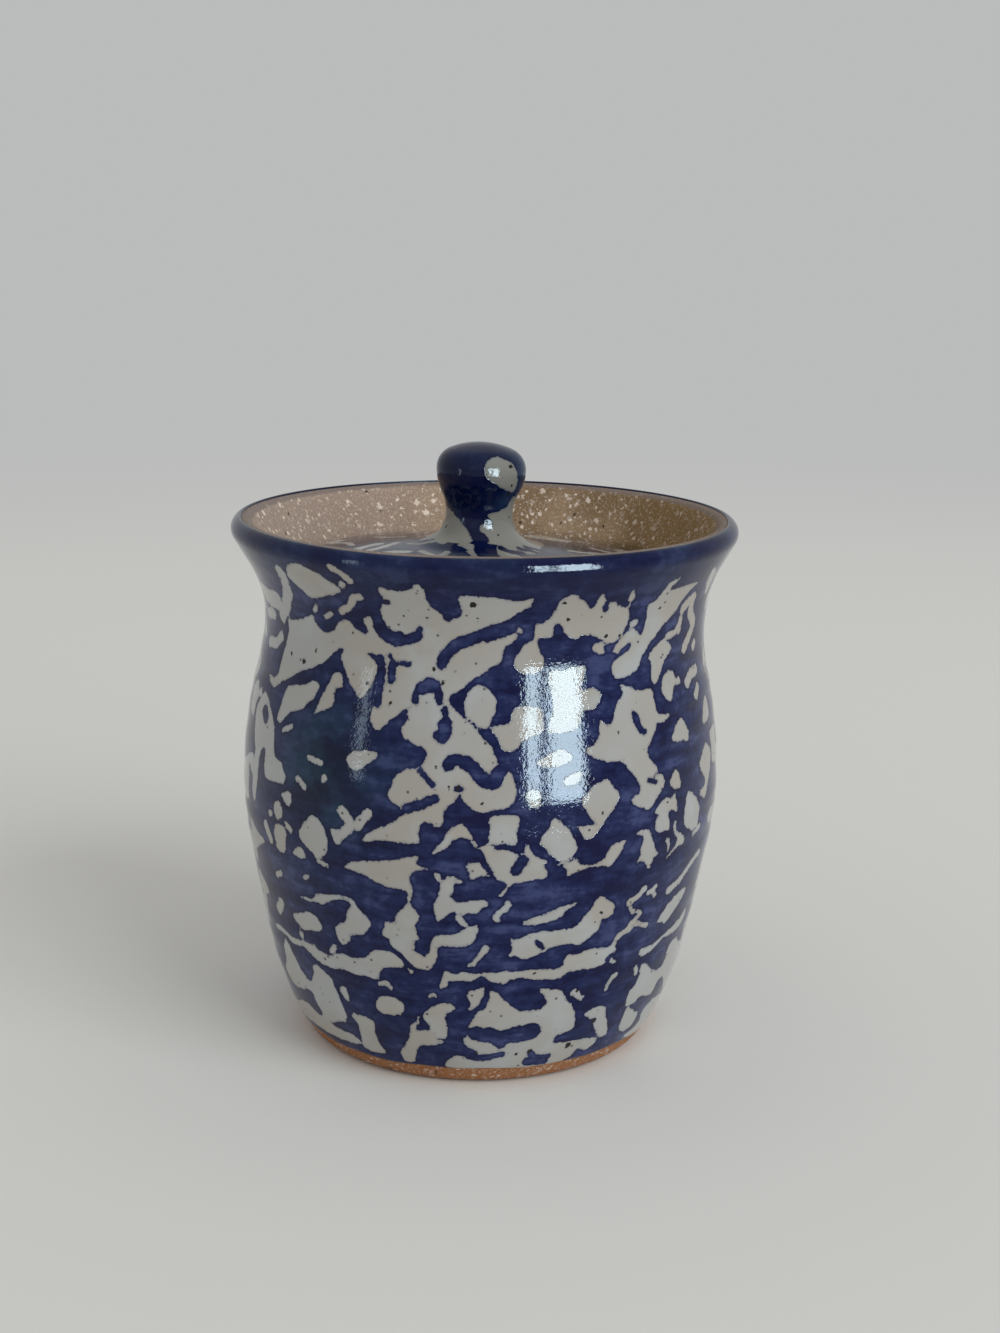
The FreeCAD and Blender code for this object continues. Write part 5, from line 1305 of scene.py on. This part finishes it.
clayLook = {
    "matrix": (182, 153, 122), "darker": (140, 113, 82), "pinkish": (176, 155, 142),
    # the first colour on the next line is a painted shade, for the inside's right wall
    "shadeBrown": (134, 103, 54), "footWarm": (150, 90, 34), "grog": (246, 228, 208), "dark": (70, 54, 44),
    "lip": (132, 118, 112),
    "cloud": (45.0, 3.0), "toMatrix": (0.35, 0.65),
    "bandStretch": (18, 18, 700), "bands": (1.0, 3.0), "toBand": (0.5, 0.72, 0.0, 0.5),
    # pinker to the left, a painted light; browner to the right, a painted shade; in the foot and on the
    # lip; in metres
    "leftLight": (0.005, -0.03, 0.0, 0.85), "rightShade": (0.018, 0.05, 0.0, 0.85),
    "foot": (0.0144, 0.009, 0.0, 0.93), "lipTop": (0.1155, 0.1161, 0.0, 0.8),
    "speck": (1900.0, 2.0, 0.7), "toPale": (0.5, 0.75, 0.0, 0.45), "toDark": (0.4, 0.28, 0.0, 0.6),
    # the grains: how they are bent, fade in the foot and under the painted shade, and stand in their cells;
    # two kinds of scale, least and most size
    "bend": (1300.0, 2.0), "bendBy": 0.0017, "footFade": (0.0144, 0.009, 1.0, 0.45),
    "shadeFade": (0.022, 0.036, 1.0, 0.5), "kinds": ((460.0, 0.08, 0.4), (860.0, 0.1, 0.48)),
    "empty": 0.3, "grainEdge": (-0.02, 0.1), "grainTone": (0.3, 1.0, 0.0, 0.75),
    "pitScale": 300.0, "pitSize": (0.16, 0.1), "pitChosen": (0.82, 0.84),
    "roughness": (0.0, 1.0, 0.9, 0.75), "gloss": 0.3,
    "bandHeight": 0.00008, "grainHeight": 0.00006, "speckHeight": 0.00005,
}


def bareClay():
    p = clayLook
    finish, tree, shader, place = newFinish("bareClay")
    apart = put(tree, "SeparateXYZ", {0: place})
    side, height = apart.outputs[0], apart.outputs[2]
    cloud = noise(tree, place, *p["cloud"])
    colour = mixed(tree, ramp(tree, cloud, *p["toMatrix"]), p["darker"], p["matrix"])
    bands = noise(tree, stretched(tree, place, p["bandStretch"]), *p["bands"])
    speck = noise(tree, place, *p["speck"])
    # the bands, then painted light in pink on the left and painted shade in brown on the right, the foot,
    # and pale and dark specks
    for value, key, other in ((bands, "toBand", "darker"), (side, "leftLight", "pinkish"),
                              (side, "rightShade", "shadeBrown"), (height, "foot", "footWarm"),
                              (speck, "toPale", "grog"), (speck, "toDark", "darker")):
        colour = mixed(tree, ramp(tree, value, *p[key]), colour, p[other])
    # pale grog: in each cell of a Voronoi pattern one grain of its own size, bent by a noise
    bend = put(tree, "TexNoise", {"Vector": place, "Scale": p["bend"][0], "Detail": p["bend"][1]})
    bend = put(tree, "VectorMath", {0: bend.outputs["Color"], "Scale": p["bendBy"]}, operation="SCALE")
    bent = put(tree, "VectorMath", {0: place, 1: bend.outputs[0]}, operation="ADD").outputs[0]
    # the grains stand out less in the foot and under the painted shade on the right
    clear = product(tree, ramp(tree, height, *p["footFade"]), ramp(tree, side, *p["shadeFade"]))
    grains = None
    for scale, least, most in p["kinds"]:
        away, chance, shade = cellsOf(tree, bent, scale)
        size = ramp(tree, chance, p["empty"], 1.0, least, most, "LINEAR")
        grain = product(tree, ramp(tree, sums(tree, "SUBTRACT", size, away), *p["grainEdge"]),
                        sums(tree, "GREATER_THAN", chance, p["empty"]))
        pale = mixed(tree, ramp(tree, shade, *p["grainTone"]), p["grog"], p["pinkish"])
        colour = mixed(tree, product(tree, grain, clear), colour, pale)
        grains = grain if grains is None else sums(tree, "MAXIMUM", grains, grain)
    away, chance, _ = cellsOf(tree, bent, p["pitScale"])
    pits = product(tree, ramp(tree, away, *p["pitSize"]), ramp(tree, chance, *p["pitChosen"]))
    colour = mixed(tree, pits, colour, p["dark"])
    colour = mixed(tree, ramp(tree, height, *p["lipTop"]), colour, p["lip"])
    tree.links.new(colour, shader.inputs["Base Color"])
    tree.links.new(ramp(tree, grains, *p["roughness"]), shader.inputs["Roughness"])
    shader.inputs["Specular IOR Level"].default_value = p["gloss"]
    normal = bumped(tree, shader, bands, p["bandHeight"])
    normal = bumped(tree, shader, grains, p["grainHeight"], normal)
    bumped(tree, shader, speck, p["speckHeight"], normal)
    return finish


linerLook = {
    "grey": (158, 153, 143), "warm": (146, 134, 118), "fleck": (96, 84, 72),
    "ringStretch": (14, 14, 260), "rings": (1.0, 3.0), "cloud": (60.0, 3.0), "toGrey": (0.4, 0.6),
    "fleckScale": 330.0, "fleckChosen": (0.84, 0.88), "fleckSize": (0.1, 0.2, 0.7, 0.0),
    "roughness": 0.14, "ringHeight": 0.00012, "peel": (260.0, 2.0), "peelHeight": 0.00002,
}


def linerGlaze():
    p = linerLook
    finish, tree, shader, place = newFinish("linerGlaze")
    rings = noise(tree, stretched(tree, place, p["ringStretch"]), *p["rings"])
    cloud = noise(tree, place, *p["cloud"])
    tone = sums(tree, "ADD", product(tree, rings, 0.5), product(tree, cloud, 0.5))
    colour = mixed(tree, ramp(tree, tone, *p["toGrey"]), p["warm"], p["grey"])
    away, chance, _ = cellsOf(tree, place, p["fleckScale"])
    flecks = product(tree, ramp(tree, chance, *p["fleckChosen"]), ramp(tree, away, *p["fleckSize"]))
    tree.links.new(mixed(tree, flecks, colour, p["fleck"]), shader.inputs["Base Color"])
    shader.inputs["Roughness"].default_value = p["roughness"]
    normal = bumped(tree, shader, rings, p["ringHeight"])
    bumped(tree, shader, noise(tree, place, *p["peel"]), p["peelHeight"], normal)
    return finish


glaze, clay, insideGlaze = spongedGlaze(), bareClay(), linerGlaze()
for piece, finish in ((potCoat, glaze), (lidCoat, glaze), (potClay, clay), (lidClay, clay),
                      (knobClay, clay), (liner, insideGlaze)):
    piece.data.materials.append(finish)
print("finishes: glaze, clay and liner")


# floor, lamps and camera

studio = {
    "floorRadius": 3.0, "floorCorners": 96, "floor": (240, 238, 233), "black": (0, 0, 0),
    "fadeFrom": 0.4, "fadeTo": 1.2, "air": (0.985, 0.995, 1.0), "airStrength": 0.5,
    "daylight": (0.7, 0.89, 1.0), "keyLight": (0.94, 0.98, 1.0), "wattsPerBrightness": 4.0,
    # every lamp: middle, width and height in millimetres, brightness, what it lights
    "lamps": {
        "windowNarrow": ((159, -368, 152), 44, 292, 25.0, "gloss"),
        "windowWide": ((248, -313, 152), 116, 292, 25.0, "gloss"),
        "farWindow": ((-294, -204, 120), 22, 130, 5.2, "gloss"),
        "key": ((3200, -2944, 2624), 3328, 3328, 2.3, "surface"),
    },
    "aim": (0, 0, 62),
}


def layFloor():
    # a flat disc at the height on which the pot stands; far out it fades into the air, so no
    # horizon shows
    p = studio
    mesh = bpy.data.meshes.new("floor")
    turn = np.radians(np.arange(p["floorCorners"]) * 360 / p["floorCorners"])
    rim = np.column_stack([np.cos(turn), np.sin(turn), 0 * turn]) * p["floorRadius"]
    mesh.from_pydata(rim.tolist(), [], [list(range(p["floorCorners"]))])
    floor = bpy.data.objects.new("floor", mesh)
    bpy.context.scene.collection.objects.link(floor)
    finish, tree, shader, place = newFinish("paleFloor")
    away = put(tree, "VectorMath", {0: place}, operation="LENGTH").outputs["Value"]
    far = ramp(tree, away, p["fadeFrom"], p["fadeTo"])
    tree.links.new(mixed(tree, far, p["floor"], p["black"]), shader.inputs["Base Color"])
    shader.inputs["Emission Color"].default_value = (*p["air"], 1)
    tree.links.new(product(tree, far, p["airStrength"]), shader.inputs["Emission Strength"])
    shader.inputs["Roughness"].default_value = 1.0
    shader.inputs["Specular IOR Level"].default_value = 0.0
    mesh.materials.append(finish)


def hangLamps():
    # each lamp faces the middle of the pot, with a power of brightness times area; the windows are
    # seen in the gloss only, the key lights the surfaces only
    p = studio
    for name, (place, width, height, brightness, use) in p["lamps"].items():
        data = bpy.data.lights.new(name, "AREA")
        data.shape, data.size, data.size_y = "RECTANGLE", width * mm, height * mm
        data.energy = brightness * p["wattsPerBrightness"] * width * height * mm * mm
        data.color = p["daylight" if use == "gloss" else "keyLight"]
        lamp = bpy.data.objects.new(name, data)
        bpy.context.scene.collection.objects.link(lamp)
        middle = Vector(place) * mm
        away = Vector(p["aim"]) * mm - middle
        if use == "gloss":
            away.z = 0  # windows stand upright
        turn = away.to_track_quat("-Z", "Y").to_matrix().to_4x4()
        lamp.matrix_world = Matrix.Translation(middle) @ turn
        lamp.visible_camera = False
        lamp.visible_diffuse = use != "gloss"
        lamp.visible_glossy = use == "gloss"


layFloor()
hangLamps()

cameraPlace = {
    "place": (4.79, -434.28, 186.83), "pitch": 13.4976, "yaw": -0.031, "roll": 0.744,
    "focalPixels": 2000.0, "longSide": 1333.0, "sensor": 36.0, "clip": (0.01, 20.0),
}


def placeCamera():
    # the camera looks ahead by its yaw and pitch and is rolled about that line; the focal length is
    # given in pixels of a picture whose long side is the sensor's width
    p = cameraPlace
    pitch, yaw, roll = (math.radians(p[key]) for key in ("pitch", "yaw", "roll"))
    ahead = Vector((math.sin(yaw) * math.cos(pitch), math.cos(yaw) * math.cos(pitch), -math.sin(pitch)))
    level = Vector((math.cos(yaw), -math.sin(yaw), 0))
    above = level.cross(ahead)
    right = level * math.cos(roll) + above * math.sin(roll)
    up = above * math.cos(roll) - level * math.sin(roll)
    camera = bpy.data.objects.new("camera", bpy.data.cameras.new("camera"))
    bpy.context.scene.collection.objects.link(camera)
    turn = Matrix((right, up, -ahead)).transposed().to_4x4()
    camera.matrix_world = Matrix.Translation(Vector(p["place"]) * mm) @ turn
    camera.data.sensor_width = p["sensor"]
    camera.data.lens = p["sensor"] * p["focalPixels"] / p["longSide"]
    camera.data.clip_start, camera.data.clip_end = p["clip"]
    bpy.context.scene.camera = camera


placeCamera()

world = bpy.data.worlds.new("studio")
bpy.context.scene.world = world
world.use_nodes = True
air = world.node_tree.nodes["Background"]
air.inputs["Color"].default_value = (*studio["air"], 1)
air.inputs["Strength"].default_value = studio["airStrength"]

bpy.context.scene.view_settings.view_transform = "Standard"

print("bean pot: done")
